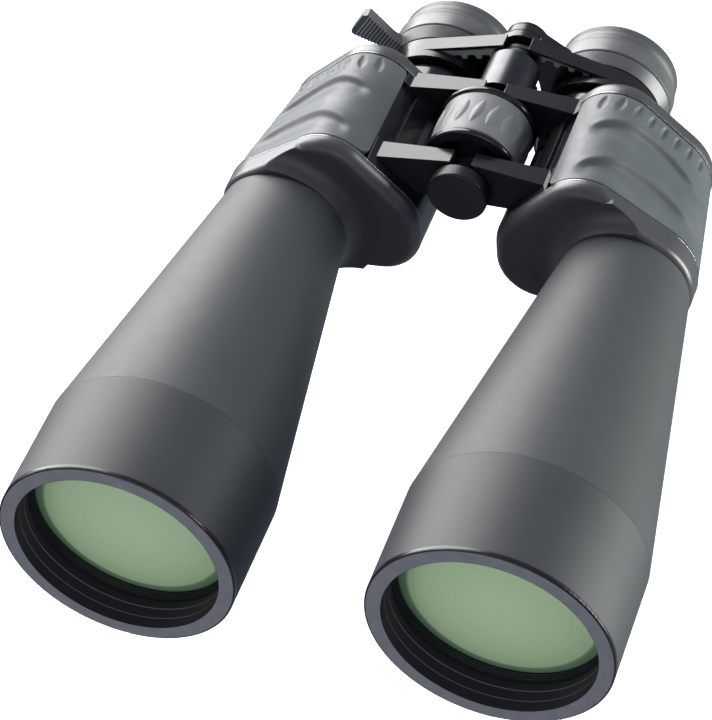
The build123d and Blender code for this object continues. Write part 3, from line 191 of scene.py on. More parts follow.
# Zoom belts
BELT_W = 2.0
BELT_T = 2.15
BELT_EYE_R = 18.5
BELT_HUB_R = 4.3
BELT_RIGHT_Y = 250.9
BELT_LEFT_Y = 253.2
BELT_PITCH = 5.8
BELT_TOOTH_W = 3.0
BELT_TOOTH_H = 1.8
BELT_TOOTH_FLANK = 0.7
BELT_EDGE = 0.2
BELT_DARK_X = 8.0
BELT_PALE_X = 10.0
BELT_EYE_STEPS = 40
BELT_HUB_STEPS = 20
BELT_RUN_STEP = 0.3

# Colours
PAINT = (0.053, 0.058, 0.06)
SLEEVE = (0.042, 0.046, 0.049)
SLEEVE_LIP = (0.012, 0.012, 0.014)
COVER = (0.058, 0.057, 0.062)
ARM = (0.014, 0.014, 0.016)
BRIDGE = (0.012, 0.012, 0.014)
CAP = (0.014, 0.014, 0.017)
BLACK = (0.013, 0.013, 0.0145)
GLOSS = (0.012, 0.012, 0.014)
ARMOUR = (0.098, 0.108, 0.115)
GRIP = (0.165, 0.171, 0.177)
EYECUP = (0.075, 0.077, 0.079)
LEVER = (0.13, 0.13, 0.135)
# Painted highlight on the crests of the lever's ribs
LEVER_CREST_HIGHLIGHT = (0.55, 0.55, 0.57)
BELT = (0.66, 0.67, 0.57)
# Near black, for the belts where they run round the hub
BELT_AT_HUB = (0.02, 0.02, 0.018)
BEZEL = (0.235, 0.23, 0.245)
BORE = (0.04, 0.026, 0.046)
BORE_LINE = (0.26, 0.22, 0.25)
OCULAR = (0.13, 0.132, 0.134)
CHROME = (0.09, 0.09, 0.095)
SILVER = (0.4, 0.4, 0.41)
STEEL = (0.5, 0.5, 0.5)
BRASS = (0.6, 0.43, 0.18)
INNER_METAL = (0.05, 0.05, 0.052)
# The lens coating, from the middle to the rim: (share of the radius, colour)
COATING = (
    (0.0, (0.64, 0.82, 0.49)),
    (0.6, (0.6, 0.79, 0.46)),
    (0.86, (0.54, 0.74, 0.41)),
    (0.89, (0.2, 0.33, 0.19)),
    (1.0, (0.13, 0.24, 0.13)),
)
# Colour of the faint rings painted on the lens as reflections from its inner faces
LENS_RING_REFLECTION = (0.3, 0.46, 0.3)
PRISM_TINTS = ((0.8, 0.86, 0.84), (0.9, 0.94, 0.92))

# Values in the finishes, with sizes in millimetres. An edge shows fully at the first of its cosines and not
# at all at the second; a face starts to count as square at the first and does so fully at the second.
NOISE_ROUGHNESS = 0.55
LATHE_PITCH = 0.12
LATHE_RELIEF = 0.002
LATHE_EDGE_R = 0.3
REFLECTED_RINGS_PER_MM = 0.9
EDGE_WEAR_AND_HIGHLIGHT_R = 0.5
EDGE_SAMPLES = 4
EDGE_COSINES = (0.8, 0.995)
SQUARE_COSINES = (0.72, 0.97)


def half_name(side):
    """The user's name for a half: +1 is the left one."""
    return "left" if side > 0 else "right"


def finish_mesh(name, mesh, body, material, smooth_angle=40):
    """Lay a mesh made in the optical frame down, as a piece that rides on a body."""
    bmesh.ops.recalc_face_normals(mesh, faces=mesh.faces)
    data = bpy.data.meshes.new(name)
    mesh.to_mesh(data)
    mesh.free()
    data.transform(Matrix.Scale(MM, 4))
    data.transform(OPTICAL)
    piece = bpy.data.objects.new(name, data)
    bpy.context.scene.collection.objects.link(piece)
    data.materials.append(material)
    for face in data.polygons:
        face.use_smooth = True
    data.set_sharp_from_angle(angle=math.radians(smooth_angle))
    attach(piece, body)
    return piece


def grid(mesh, rows, close_u=False, close_v=False):
    """Faces over rows of points; close_u joins the last row to the first, close_v each row's ends."""
    verts = [[mesh.verts.new(p) for p in row] for row in rows]
    wide = len(rows[0])
    for i in range(len(rows) - (0 if close_u else 1)):
        near = verts[i]
        far = verts[(i + 1) % len(rows)]
        for j in range(wide - (0 if close_v else 1)):
            k = (j + 1) % wide
            mesh.faces.new((near[j], near[k], far[k], far[j]))
    return verts


def smooth(t):
    """A soft step from 0 to 1."""
    t = min(1.0, max(0.0, t))
    return t * t * (3 - 2 * t)


# Materials


class Finish:
    """A procedural material being put together; its textures are laid in millimetres on the object."""

    def __init__(self, name):
        self.material = bpy.data.materials.new(name)
        self.material.use_nodes = True
        self.tree = self.material.node_tree
        self.shader = self.tree.nodes["Principled BSDF"]
        where = self.add("ShaderNodeTexCoord").outputs["Object"]
        lay = self.add("ShaderNodeMapping", vector_type="TEXTURE")
        lay.inputs["Location"].default_value = (0, REST_Y * MM, REST_Z * MM)
        lay.inputs["Rotation"].default_value = (-REST_TILT, 0, 0)
        lay.inputs["Scale"].default_value = (MM, MM, MM)
        self.link(where, lay.inputs["Vector"])
        self.mm = lay.outputs["Vector"]
        self.normal = None

    def add(self, kind, **settings):
        node = self.tree.nodes.new(kind)
        for key, value in settings.items():
            setattr(node, key, value)
        return node

    def link(self, source, target):
        self.tree.links.new(source, target)

    def set(self, **values):
        """Numbers and colours that are the same all over."""
        for key, value in values.items():
            self.shader.inputs[key.replace("_", " ")].default_value = value
        return self

    def noise(self, size, detail=3.0):
        """Soft random spots of this size in millimetres."""
        node = self.add("ShaderNodeTexNoise")
        node.inputs["Scale"].default_value = 1 / size
        node.inputs["Detail"].default_value = detail
        node.inputs["Roughness"].default_value = NOISE_ROUGHNESS
        self.link(self.mm, node.inputs["Vector"])
        return node.outputs["Fac"]

    def rings(self, radius, per_mm):
        """Random rings along a distance from an axis."""
        node = self.add("ShaderNodeTexNoise", noise_dimensions="1D")
        node.inputs["Scale"].default_value = per_mm
        node.inputs["Detail"].default_value = 2
        self.link(radius, node.inputs["W"])
        return node.outputs["Fac"]

    def math(self, operation, a, b=None):
        """A sum or other step on sockets and numbers."""
        node = self.add("ShaderNodeMath", operation=operation)
        for socket, value in zip(node.inputs, (a, b)):
            if isinstance(value, (int, float)):
                socket.default_value = value
            elif value is not None:
                self.link(value, socket)
        return node.outputs[0]

    def radius(self, x, z):
        """Distance from the lengthwise axis at x, z and at its mirror image."""
        split = self.add("ShaderNodeSeparateXYZ")
        self.link(self.mm, split.inputs[0])
        dx = self.math("SUBTRACT", self.math("ABSOLUTE", split.outputs["X"]), x)
        dz = self.math("SUBTRACT", split.outputs["Z"], z)
        squares = self.math("ADD", self.math("MULTIPLY", dx, dx), self.math("MULTIPLY", dz, dz))
        return self.math("SQRT", squares)

    def ramp(self, factor, *stops):
        """Colours along a factor, from (place, colour) stops."""
        node = self.add("ShaderNodeValToRGB")
        ramp = node.color_ramp
        while len(ramp.elements) < len(stops):
            ramp.elements.new(0.5)
        for element, (place, colour) in zip(ramp.elements, stops):
            element.position = place
            element.color = (*colour, 1)
        self.link(factor, node.inputs["Fac"])
        return node.outputs["Color"]

    def mix(self, factor, a, b):
        """Colour b laid over colour a by a factor."""
        node = self.add("ShaderNodeMix", data_type="RGBA")
        self.link(factor, node.inputs["Factor"])
        for key, value in (("A", a), ("B", b)):
            socket = node.inputs[key]
            if isinstance(value, tuple):
                socket.default_value = (*value, 1)
            else:
                self.link(value, socket)
        return node.outputs["Result"]

    def span(self, factor, low, high, from_low=0.0, from_high=1.0):
        """A factor stretched from one span of numbers to another."""
        node = self.add("ShaderNodeMapRange")
        node.inputs["From Min"].default_value = from_low
        node.inputs["From Max"].default_value = from_high
        node.inputs["To Min"].default_value = low
        node.inputs["To Max"].default_value = high
        self.link(factor, node.inputs["Value"])
        return node.outputs["Result"]

    def place(self, axis):
        """Where a point lies along one axis, in millimetres."""
        split = self.add("ShaderNodeSeparateXYZ")
        self.link(self.mm, split.inputs[0])
        return split.outputs[axis]

    def stripe(self, value, at, width):
        """1 in a stripe of this width round one number, 0 beside it."""
        away = self.math("ABSOLUTE", self.math("SUBTRACT", value, at))
        return self.span(away, 1, 0, width * 0.35, width * 0.65)

    def source(self, name):
        """What feeds one of the shader's sockets so far."""
        return self.shader.inputs[name].links[0].from_socket

    def soft_edges(self, radius):
        """Edges catch the light as if they were rounded to this radius in millimetres."""
        node = self.add("ShaderNodeBevel", samples=EDGE_SAMPLES)
        node.inputs["Radius"].default_value = radius * MM
        self.normal = node.outputs["Normal"]

    def edge_mask(self, radius):
        """1 along sharp edges, 0 on flat faces."""
        bevel = self.add("ShaderNodeBevel", samples=EDGE_SAMPLES)
        bevel.inputs["Radius"].default_value = radius * MM
        face = self.add("ShaderNodeNewGeometry")
        dot = self.add("ShaderNodeVectorMath", operation="DOT_PRODUCT")
        self.link(bevel.outputs["Normal"], dot.inputs[0])
        self.link(face.outputs["Normal"], dot.inputs[1])
        return self.span(dot.outputs["Value"], 1, 0, *EDGE_COSINES)

    def bump(self, height, depth):
        """Relief of this depth in millimetres."""
        node = self.add("ShaderNodeBump")
        node.inputs["Strength"].default_value = 1.0
        node.inputs["Distance"].default_value = depth * MM
        self.link(height, node.inputs["Height"])
        if self.normal is not None:
            self.link(self.normal, node.inputs["Normal"])
        self.normal = node.outputs["Normal"]

    def colour(self, source):
        self.link(source, self.shader.inputs["Base Color"])

    def rough(self, source):
        self.link(source, self.shader.inputs["Roughness"])

    def shine(self, source):
        self.link(source, self.shader.inputs["Specular IOR Level"])

    def done(self):
        """The material, with its relief and soft edges joined up."""
        if self.normal is not None:
            self.link(self.normal, self.shader.inputs["Normal"])
        return self.material


def tint(colour, factor):
    """A colour made lighter or darker."""
    return tuple(c * factor for c in colour)


def coated(
    name,
    colour,
    roughness,
    spread=0.055,
    grain=0.22,
    relief=0.012,
    mottle=14.0,
    contrast=0.12,
    edge=0.0,
    bevel=0.35,
):
    """Satin paint, moulded plastic or rubber: fine grain, slow mottling, edges made lighter, partly as wear
    and partly as a painted highlight.

    Grain, relief, mottle and bevel are sizes in millimetres; spread is how far the roughness varies,
    contrast how far the colour does, and edge how far the edges are lightened as wear and painted
    highlight.
    """
    f = Finish(name)
    if bevel:
        f.soft_edges(bevel)
    slow = f.noise(mottle, 4)
    fine = f.noise(grain, 2)
    base = f.ramp(slow, (0.3, tint(colour, 1 - contrast)), (0.7, tint(colour, 1 + contrast)))
    base = f.mix(f.span(fine, 0.0, 0.25, 0.45, 0.75), base, tint(colour, 1.35))
    if edge:
        # Lighter edges: partly wear, partly a painted highlight along sharp edges
        wear_and_highlight = f.math("MULTIPLY", f.edge_mask(EDGE_WEAR_AND_HIGHLIGHT_R), f.span(f.noise(2.5), 0.2, 1.0, 0.35, 0.65))
        base = f.mix(f.math("MULTIPLY", wear_and_highlight, edge), base, tint(colour, 4.0))
    f.colour(base)
    f.rough(f.span(f.noise(5.0), roughness - spread, roughness + spread, 0.3, 0.7))
    f.bump(fine, relief)
    return f


def turned_metal(name, colour, roughness, x, z, metallic=1.0):
    """Lathe-turned metal: fine rings round an axis, faint stains."""
    f = Finish(name)
    f.soft_edges(LATHE_EDGE_R)
    rings = f.rings(f.radius(x, z), 1 / LATHE_PITCH)
    stain = f.noise(6.0, 4)
    f.colour(f.ramp(stain, (0.3, tint(colour, 0.88)), (0.7, tint(colour, 1.1))))
    f.rough(f.span(rings, roughness - 0.04, roughness + 0.06, 0.3, 0.7))
    f.bump(rings, LATHE_RELIEF)
    f.set(Metallic=metallic)
    return f


def bezel_finish():
    """The bezel: a fine grey face, and a black wall inside it with two pale lines."""
    f = turned_metal("bezel_grey", BEZEL, 0.45, OBJECTIVE_X, 0, metallic=0.0)
    wall = f.span(f.radius(OBJECTIVE_X, 0), 1, 0, BEZEL_WALL_END_R, BEZEL_FACE_START_R)
    y = f.place("Y")
    first, second = [f.stripe(y, at, width) for at, width in BORE_LINES]
    black = f.mix(f.math("ADD", first, second), BORE, BORE_LINE)
    f.colour(f.mix(wall, f.source("Base Color"), black))
    f.rough(f.span(wall, 0.45, 0.3))
    f.shine(f.span(wall, 0.5, 0.12))
    return f.done()


def sleeve_finish():
    """The sleeve: fine satin coat, and a darker, smoother lip at its front end."""
    f = coated("sleeve_coat", SLEEVE, 0.55, grain=0.18, mottle=20, contrast=0.06, bevel=1.0)
    lip = f.span(f.place("Y"), 1, 0, SLEEVE_LIP_END - SLEEVE_LIP_BLUR, SLEEVE_LIP_END + SLEEVE_LIP_BLUR)
    f.colour(f.mix(lip, f.source("Base Color"), SLEEVE_LIP))
    f.rough(f.span(lip, 0.55, 0.22))
    return f.done()


def dull_fronts(f, rough, shine):
    """Make faces square to the optical axis duller; each pair is (other faces, those faces)."""
    facing = f.add("ShaderNodeSeparateXYZ")
    f.link(f.add("ShaderNodeTexCoord").outputs["Normal"], facing.inputs[0])
    square = f.span(f.math("ABSOLUTE", facing.outputs["Y"]), 0, 1, *SQUARE_COSINES)
    f.rough(f.span(square, *rough))
    f.shine(f.span(square, *shine))
    return f.done()


def belt_finish():
    """The belts: pale rubber, made near black where they run round the hub."""
    f = coated("belt_rubber", BELT, 0.55, grain=0.35, relief=0.02, bevel=0)
    at_hub = f.span(f.math("ABSOLUTE", f.place("X")), 1, 0, BELT_DARK_X, BELT_PALE_X)
    f.colour(f.mix(at_hub, f.source("Base Color"), BELT_AT_HUB))
    return f.done()


def lever_finish():
    """The thumb lever: dark, with painted highlights on the crests of the ribs of its front face."""
    f = coated("lever_plastic", LEVER, 0.4, grain=0.25, edge=0.3)
    out = f.math("SUBTRACT", f.math("ABSOLUTE", f.place("X")), EYE_X)
    up = f.math("SUBTRACT", f.place("Z"), EYE_Z)
    out_share = f.math("MULTIPLY", out, math.cos(LEVER_RISE))
    along = f.math("ADD", out_share, f.math("MULTIPLY", up, math.sin(LEVER_RISE)))
    beat = f.math("FRACT", f.math("DIVIDE", f.math("SUBTRACT", LEVER_RIB_FIRST, along), LEVER_RIB_STEP))
    ribbed = f.span(along, 1, 0, LEVER_RIB_FIRST, LEVER_RIB_FIRST + 0.1)
    face = f.span(f.place("Y"), 1, 0, LEVER_FRONT + 0.1, LEVER_FRONT + 0.3)
    # Painted highlight: a bright stripe along each rib's crest on the front face
    stripes = f.stripe(beat, LEVER_CREST_AT, LEVER_CREST_W)
    crest = f.math("MULTIPLY", stripes, f.math("MULTIPLY", ribbed, face))
    f.colour(f.mix(crest, f.source("Base Color"), LEVER_CREST_HIGHLIGHT))
    return f.done()


satin_paint = coated("satin_paint", PAINT, 0.55, contrast=0.05, edge=0.1, spread=0.02).done()
cover_paint = coated("cover_paint", COVER, 0.36, contrast=0.06, edge=0.1, bevel=1.5)
cover_paint = dull_fronts(cover_paint, (0.34, 0.5), (0.85, 0.12))
sleeve_coat = sleeve_finish()
armour_rubber = coated("armour_rubber", ARMOUR, 0.5, grain=0.3, relief=0.02, bevel=0).done()
grip_rubber = coated("grip_rubber", GRIP, 0.45, grain=0.25, relief=0.015, bevel=0).done()
arm_paint = coated("arm_paint", ARM, 0.2, relief=0.004, edge=0.4)
arm_paint = dull_fronts(arm_paint, (0.2, 0.45), (0.5, 0.1))
bridge_black = coated("bridge_black", BRIDGE, 0.26, relief=0.005, edge=0.5, spread=0.02).done()
cap_black = coated("cap_black", CAP, 0.36, grain=0.15, relief=0.006)
cap_black = cap_black.set(Specular_IOR_Level=0.3).done()
inner_black = coated("inner_black", BLACK, 0.4, grain=0.3, edge=0.15).done()
gloss_black = coated("gloss_black", GLOSS, 0.14, grain=0.6, relief=0.002).done()
eyecup_rubber = coated("eyecup_rubber", EYECUP, 0.44, grain=0.3, relief=0.02, bevel=0)
eyecup_rubber = eyecup_rubber.set(Specular_IOR_Level=0.9).done()
lever_plastic = lever_finish()
belt_rubber = belt_finish()

bezel_grey = bezel_finish()
ring_grey = turned_metal("ring_grey", OCULAR, 0.36, EYE_X, EYE_Z, metallic=0.2).done()
dark_chrome = turned_metal("dark_chrome", CHROME, 0.3, 0, HINGE_Z).done()
trim_silver = turned_metal("trim_silver", SILVER, 0.25, OBJECTIVE_X, 0).done()
steel = turned_metal("steel", STEEL, 0.3, 0, HINGE_Z).done()
brass = turned_metal("brass", BRASS, 0.3, 0, HINGE_Z).done()
inner_metal = turned_metal("inner_metal", INNER_METAL, 0.4, OBJECTIVE_X, 0, metallic=0.5).done()


def coated_glass(name, x, z, edge_r, shade, shine):
    """A lens with a green coating, darker towards its rim, with faint painted reflections of rings from its
    inner faces.
    """
    f = Finish(name)
    r = f.radius(x, z)
    stops = [(place, tint(colour, shade)) for place, colour in COATING]
    green = f.ramp(f.math("DIVIDE", r, edge_r), *stops)
    # Painted reflection: faint rings over the outer part of the lens
    rings = f.rings(r, REFLECTED_RINGS_PER_MM)
    outer_part = f.span(r, 0, 1, edge_r * 0.3, edge_r * 0.7)
    ring_reflections = f.math("MULTIPLY", f.span(rings, 0, 0.12, 0.5, 0.65), outer_part)
    f.colour(f.mix(ring_reflections, green, tint(LENS_RING_REFLECTION, shade)))
    f.rough(f.span(f.noise(9.0), 0.12, 0.2))
    f.set(Specular_IOR_Level=shine)
    return f.done()


objective_glass = coated_glass("objective_glass", OBJECTIVE_X, 0, OBJECTIVE_GLASS_R, 1.0, 0.1)
eye_glass = coated_glass("eye_glass", EYE_X, EYE_Z, EYE_GLASS_R, 0.07, 0.7)


def clear_glass():
    """Plain optical glass with ground flanks."""
    f = Finish("prism_glass")
    f.colour(f.ramp(f.noise(8.0), (0.3, PRISM_TINTS[0]), (0.7, PRISM_TINTS[1])))
    f.rough(f.span(f.noise(1.2), 0.02, 0.12, 0.4, 0.7))
    f.set(Transmission_Weight=0.8, IOR=GLASS_IOR)
    return f.done()


prism_glass = clear_glass()

SIDE_FINISHES = {
    "objective_sleeve": sleeve_coat,
    "objective_bezel": bezel_grey,
    "lens_retaining_ring": inner_black,
    "objective_cell": inner_metal,
    "objective_doublet": objective_glass,
    "objective_barrel": satin_paint,
    "front_cover": cover_paint,
    "rear_cover": cover_paint,
    "cover_screws": steel,
    "guide_bush": gloss_black,
    "front_prism": prism_glass,
    "rear_prism": prism_glass,
    "prism_shelf": inner_metal,
    "prism_clips": steel,
    "eyepiece_tube": dark_chrome,
    "zoom_cell": inner_metal,
    "zoom_lens": eye_glass,
    "zoom_ring": ring_grey,
    "ocular_ring": ring_grey,
    "eye_lens": eye_glass,
    "prism_housing": arm_paint,
    "bridge_arm": bridge_black,
}
MIDDLE_FINISHES = {
    "zoom_lever": lever_plastic,
    "hinge_pin": steel,
    "hinge_washers": brass,
    "tripod_cap": cap_black,
    "focus_wheel": gloss_black,
    "focus_tube": dark_chrome,
    "focus_rod": steel,
    "zoom_pulley": inner_metal,
    "bridge_cap": bridge_black,
}


def paint_nodes():
    """Give every carried-over node its finish."""
    finishes = dict(MIDDLE_FINISHES)
    for kind, finish in SIDE_FINISHES.items():
        finishes["left_" + kind] = finish
        finishes["right_" + kind] = finish
    for name, finish in finishes.items():
        for slot in NODES[name].material_slots:
            slot.material = finish


paint_nodes()

# Prism housing outline


def housing_corners(y):
    """The corners of the left housing's outline at y."""
    share = (y - FRONT_PARTING) / (REAR_PARTING - FRONT_PARTING)
    outer_x = HOUSING_OUTER_X - share * HOUSING_DRAW_IN
    shoulder_z = HOUSING_SHOULDER_Z - share * HOUSING_SHOULDER_DROP
    outer = ((outer_x, shoulder_z), (outer_x, HOUSING_FOOT_Z))
    return [Vector(corner) for corner in (HOUSING_TOP, *outer, HOUSING_INNER_FOOT, HOUSING_WAIST)]


def bend(corners, i, steps):
    """The rounded corner i of an outline, as (point, outward direction) pairs."""
    before, corner, after = corners[i - 1], corners[i], corners[(i + 1) % len(corners)]
    come = (corner - before).normalized()
    go = (after - corner).normalized()
    turn = math.acos(come.dot(go))
    start = corner - come * HOUSING_RADII[i] * math.tan(turn / 2)
    middle = start + Vector((come.y, -come.x)) * HOUSING_RADII[i]
    points = []
    for k in range(steps + 1):
        out = Vector((-come.y, come.x))
        out.rotate(Matrix.Rotation(-turn * k / steps, 2))
        points.append((middle + out * HOUSING_RADII[i], out))
    return points


def straight(begin, end, steps):
    """Points on a straight side, without its ends."""
    along = (end - begin).normalized()
    out = Vector((-along.y, along.x))
    return [(begin.lerp(end, k / steps), out) for k in range(1, steps)]


def whole_outline(y):
    """The whole outline at y."""
    corners = housing_corners(y)
    bends = [bend(corners, i, OUTLINE_BEND_STEPS) for i in range(len(corners))]
    points = []
    for near, far in zip(bends, bends[1:] + bends[:1]):
        points += near
        points += straight(near[-1][0], far[0][0], OUTLINE_RUN_STEPS)
    return points


def armour_path(y):
    """The part of the outline at y that the armour covers, from its top inner edge round to the belly."""
    corners = housing_corners(y)
    flank = corners[0] - corners[4]
    first = corners[4] + flank * ((ARMOUR_INNER_X - corners[4].x) / flank.x)
    belly = corners[3] - corners[2]
    last = corners[2] + belly * ((ARMOUR_INNER_X - corners[2].x) / belly.x)
    top, shoulder, foot = [bend(corners, i, steps) for i, steps in enumerate(ARMOUR_BEND_STEPS)]
    to_top, to_shoulder, to_foot, to_end = ARMOUR_RUN_STEPS
    points = [(first, top[0][1])]
    points += straight(first, top[0][0], to_top) + top
    points += straight(top[-1][0], shoulder[0][0], to_shoulder) + shoulder
    points += straight(shoulder[-1][0], foot[0][0], to_foot) + foot
    points += straight(foot[-1][0], last, to_end)
    points.append((last, foot[-1][1]))
    return points


# Armour and silver beads


def path_lengths():
    """How far along the armour's path each of its points lies, half way down the housing."""
    points = armour_path((FRONT_PARTING + REAR_PARTING) / 2)
    lengths = [0.0]
    for (near, _), (far, _) in zip(points, points[1:]):
        lengths.append(lengths[-1] + (far - near).length)
    return lengths


def hollow_relief(s, y):
    """The finger hollows: a crisp bowed crest behind, a swell behind that, and a soft slope in front."""
    relief = 0.0
    ends = smooth((s - HOLLOW_INNER_END) / HOLLOW_INNER_FADE)
    ends *= smooth((HOLLOW_OUTER_END - s) / HOLLOW_OUTER_FADE)
    for crest, middle, front in HOLLOWS:
        edge = crest - HOLLOW_BOW * min(HOLLOW_BOW_LIMIT, ((s - middle) / HOLLOW_HALF_SPAN) ** 2)
        share = (edge - y) / max(HOLLOW_MIN_LENGTH, edge - front)
        if 0 < share < HOLLOW_STEEP:
            relief -= HOLLOW_DEPTH * ends * math.sin(share / HOLLOW_STEEP * math.pi / 2)
        elif HOLLOW_STEEP <= share < 1:
            relief -= HOLLOW_DEPTH * ends * (1 - smooth((share - HOLLOW_STEEP) / (1 - HOLLOW_STEEP)))
        if -SWELL_LENGTH < y - edge - SWELL_LENGTH < 0:
            back = (y - edge) / SWELL_LENGTH
            relief += SWELL * ends * smooth(back / SWELL_RISE) * (1 - smooth(back))
    return relief


def pocket_depth(s, y):
    """The row of small lens-shaped pockets near the rear edge."""
    nearest = round((s - POCKET_FIRST) / POCKET_PITCH)
    if not 0 <= nearest < POCKETS:
        return 0.0
    ds = s - POCKET_FIRST - nearest * POCKET_PITCH
    dy = y - POCKET_Y
    along = dy * math.cos(POCKET_LEAN) + ds * math.sin(POCKET_LEAN)
    across = ds * math.cos(POCKET_LEAN) - dy * math.sin(POCKET_LEAN)
    room = 1 - (along / POCKET_HALF_L) ** 2
    if room <= 0:
        return 0.0
    half = POCKET_HALF_W * room
    return POCKET_DEPTH * math.sqrt(room) * max(0.0, 1 - (across / half) ** 2) ** POCKET_FULLNESS


def rounded_edge(distance):
    """How far a surface falls back at this distance from a rounded edge."""
    if distance >= RUBBER_EDGE_R:
        return 0.0
    return RUBBER_EDGE_R - math.sqrt(RUBBER_EDGE_R**2 - (RUBBER_EDGE_R - distance) ** 2)


def corner_setback(s, radius):
    """How far a rounded corner of this radius sets the armour's end back at the path length s."""
    if s >= radius:
        return 0.0
    return radius - math.sqrt(radius**2 - (radius - s) ** 2)


def armour(side, body):
    """The rubber skin over the top, outside and belly of one housing; side is +1 for the left."""
    lengths = path_lengths()
    front_path, rear_path = armour_path(FRONT_PARTING), armour_path(REAR_PARTING)
    count = round((REAR_PARTING - FRONT_PARTING) / ARMOUR_STEP)
    mesh = bmesh.new()
    rows = []
    inner = []
    for i, s in enumerate(lengths):
        y0 = FRONT_PARTING + ARMOUR_GAP + corner_setback(s, ARMOUR_FRONT_CORNER)
        y1 = REAR_PARTING - ARMOUR_GAP - corner_setback(s, ARMOUR_REAR_CORNER)
        row = []
        low = []
        for j in range(count + 1):
            y = y0 + (y1 - y0) * j / count
            share = (y - FRONT_PARTING) / (REAR_PARTING - FRONT_PARTING)
            point = front_path[i][0].lerp(rear_path[i][0], share)
            out = front_path[i][1].lerp(rear_path[i][1], share).normalized()
            rise = hollow_relief(s, y) - pocket_depth(s, y)
            rise -= rounded_edge(min(s, lengths[-1] - s, y - y0, y1 - y))
            at = point + out * max(rise, ARMOUR_MIN_T - ARMOUR_T)
            row.append((side * at.x, y, at.y))
            if j in (0, count):
                under = point - out * ARMOUR_T
                low.append((side * under.x, y, under.y))
        rows.append(row)
        inner.append(low)
    top = grid(mesh, rows)
    bottom = grid(mesh, inner)
    for i in range(len(lengths) - 1):
        mesh.faces.new((top[i][0], top[i + 1][0], bottom[i + 1][0], bottom[i][0]))
        mesh.faces.new((top[i][-1], bottom[i][1], bottom[i + 1][1], top[i + 1][-1]))
    mesh.faces.new(top[0] + bottom[0][::-1])
    mesh.faces.new(top[-1] + bottom[-1][::-1])
    name = half_name(side)
    piece = finish_mesh(name + "_armour_skin", mesh, body, armour_rubber)
    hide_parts(name + "_armour")


def trim(side, body, parting, y, name):
    """The thin silver bead in a parting line."""
    section = (
        (-TRIM_DEPTH, -TRIM_HALF_W),
        (TRIM_PROUD / 2, -TRIM_HALF_W),
        (TRIM_PROUD, 0),
        (TRIM_PROUD / 2, TRIM_HALF_W),
        (-TRIM_DEPTH, TRIM_HALF_W),
    )
    rows = []
    for point, out in whole_outline(parting):
        rows.append([(side * (point.x + out.x * h), y + dy, point.y + out.y * h) for h, dy in section])
    mesh = bmesh.new()
    grid(mesh, rows, close_u=True, close_v=True)
    finish_mesh(name, mesh, body, trim_silver, 60)


for side in (1, -1):
    which = half_name(side)
    armour(side, which + "_half")
    trim(side, which + "_half", FRONT_PARTING, FRONT_PARTING + TRIM_INSET, which + "_front_trim")
    trim(side, which + "_half", REAR_PARTING, REAR_PARTING - TRIM_INSET, which + "_rear_trim")

# Wheel grip, eyecups and belts


def wheel_grip():
    """The rubber band on the focus wheel, with a ring of leaning leaf-shaped bumps."""
    y0 = WHEEL_FRONT + WHEEL_RIM + GRIP_GAP
    y1 = WHEEL_REAR - WHEEL_RIM - GRIP_GAP
    middle = (y0 + y1) / 2
    around = GRIP_BUMPS * GRIP_STEPS_PER_BUMP
    pitch = 2 * math.pi * GRIP_R / GRIP_BUMPS
    rows = []
    for i in range(around):
        angle = 2 * math.pi * i / around
        row = [(GRIP_BORE_R, y0)]
        for j in range(GRIP_ROWS + 1):
            y = y0 + (y1 - y0) * j / GRIP_ROWS
            r = GRIP_R - rounded_edge(min(y - y0, y1 - y))
            s = (angle * GRIP_R + (y - middle) * math.tan(GRIP_LEAN)) % pitch - pitch / 2
            room = 1 - ((y - middle) / GRIP_BUMP_HALF_L) ** 2
            if room > 0:
                half = GRIP_BUMP_HALF_W * room
                r += GRIP_BUMP_H * math.sqrt(room) * max(0.0, 1 - (s / half) ** 2)
            row.append((r, y))
        row.append((GRIP_BORE_R, y1))
        rows.append([(r * math.cos(angle), y, HINGE_Z + r * math.sin(angle)) for r, y in row])
    mesh = bmesh.new()
    grid(mesh, rows, close_u=True, close_v=True)
    piece = finish_mesh("wheel_grip_band", mesh, "focus_wheel", grip_rubber, 50)
    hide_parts("wheel_grip")


wheel_grip()


def lathe(mesh, profile, x, z, segments):
    """A closed profile of (radius, y) points turned about a lengthwise axis."""
    rows = []
    for i in range(segments):
        angle = 2 * math.pi * i / segments
        rows.append([(x + r * math.cos(angle), y, z + r * math.sin(angle)) for r, y in profile])
    grid(mesh, rows, close_u=True, close_v=True)


def arc(r, y, size, first, last, count):
    """Points of a small round in a profile, from one angle to another in degrees."""
    points = []
    for k in range(count + 1):
        angle = math.radians(first + (last - first) * k / count)
        points.append((r + size * math.cos(angle), y + size * math.sin(angle)))
    return points


def eyecup(side, body):
    """A soft rubber eyecup: a foot band, a waist, a rolled bead with moulded lines and a wide mouth."""
    profile = [(EYECUP_FOOT_R, OCULAR_END), (EYECUP_BAND_R, OCULAR_END)]
    band_r, band_back = EYECUP_BAND_ROUND
    profile += arc(band_r, OCULAR_END + band_back, EYECUP_BAND_ROUND_R, -60, 60, 5)
    profile += [(r, OCULAR_END + back) for r, back in EYECUP_WAIST]
    for step in range(EYECUP_LINES):
        y = OCULAR_END + EYECUP_LINE_FIRST + step * EYECUP_LINE_PITCH
        profile += [(EYECUP_LINE_R, y), (EYECUP_LINE_FLOOR_R, y + EYECUP_LINE_W / 2)]
        profile.append((EYECUP_LINE_R, y + EYECUP_LINE_W))
    lip_y = EYECUP_END - EYECUP_LIP_ROUND
    profile += arc(EYECUP_LIP_OUTER_R, lip_y, EYECUP_LIP_ROUND, 0, 90, 8)
    profile += arc(EYECUP_LIP_INNER_R, lip_y, EYECUP_LIP_ROUND, 90, 180, 8)
    profile += [(r, OCULAR_END + back) for r, back in EYECUP_THROAT]
    mesh = bmesh.new()
    lathe(mesh, profile, side * EYE_X, EYE_Z, EYECUP_SEGMENTS)
    name = half_name(side)
    piece = finish_mesh(name + "_eyecup_rubber", mesh, body, eyecup_rubber, 50)
    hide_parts(name + "_eyecup")


eyecup(1, "left_ocular")
eyecup(-1, "right_carriage")


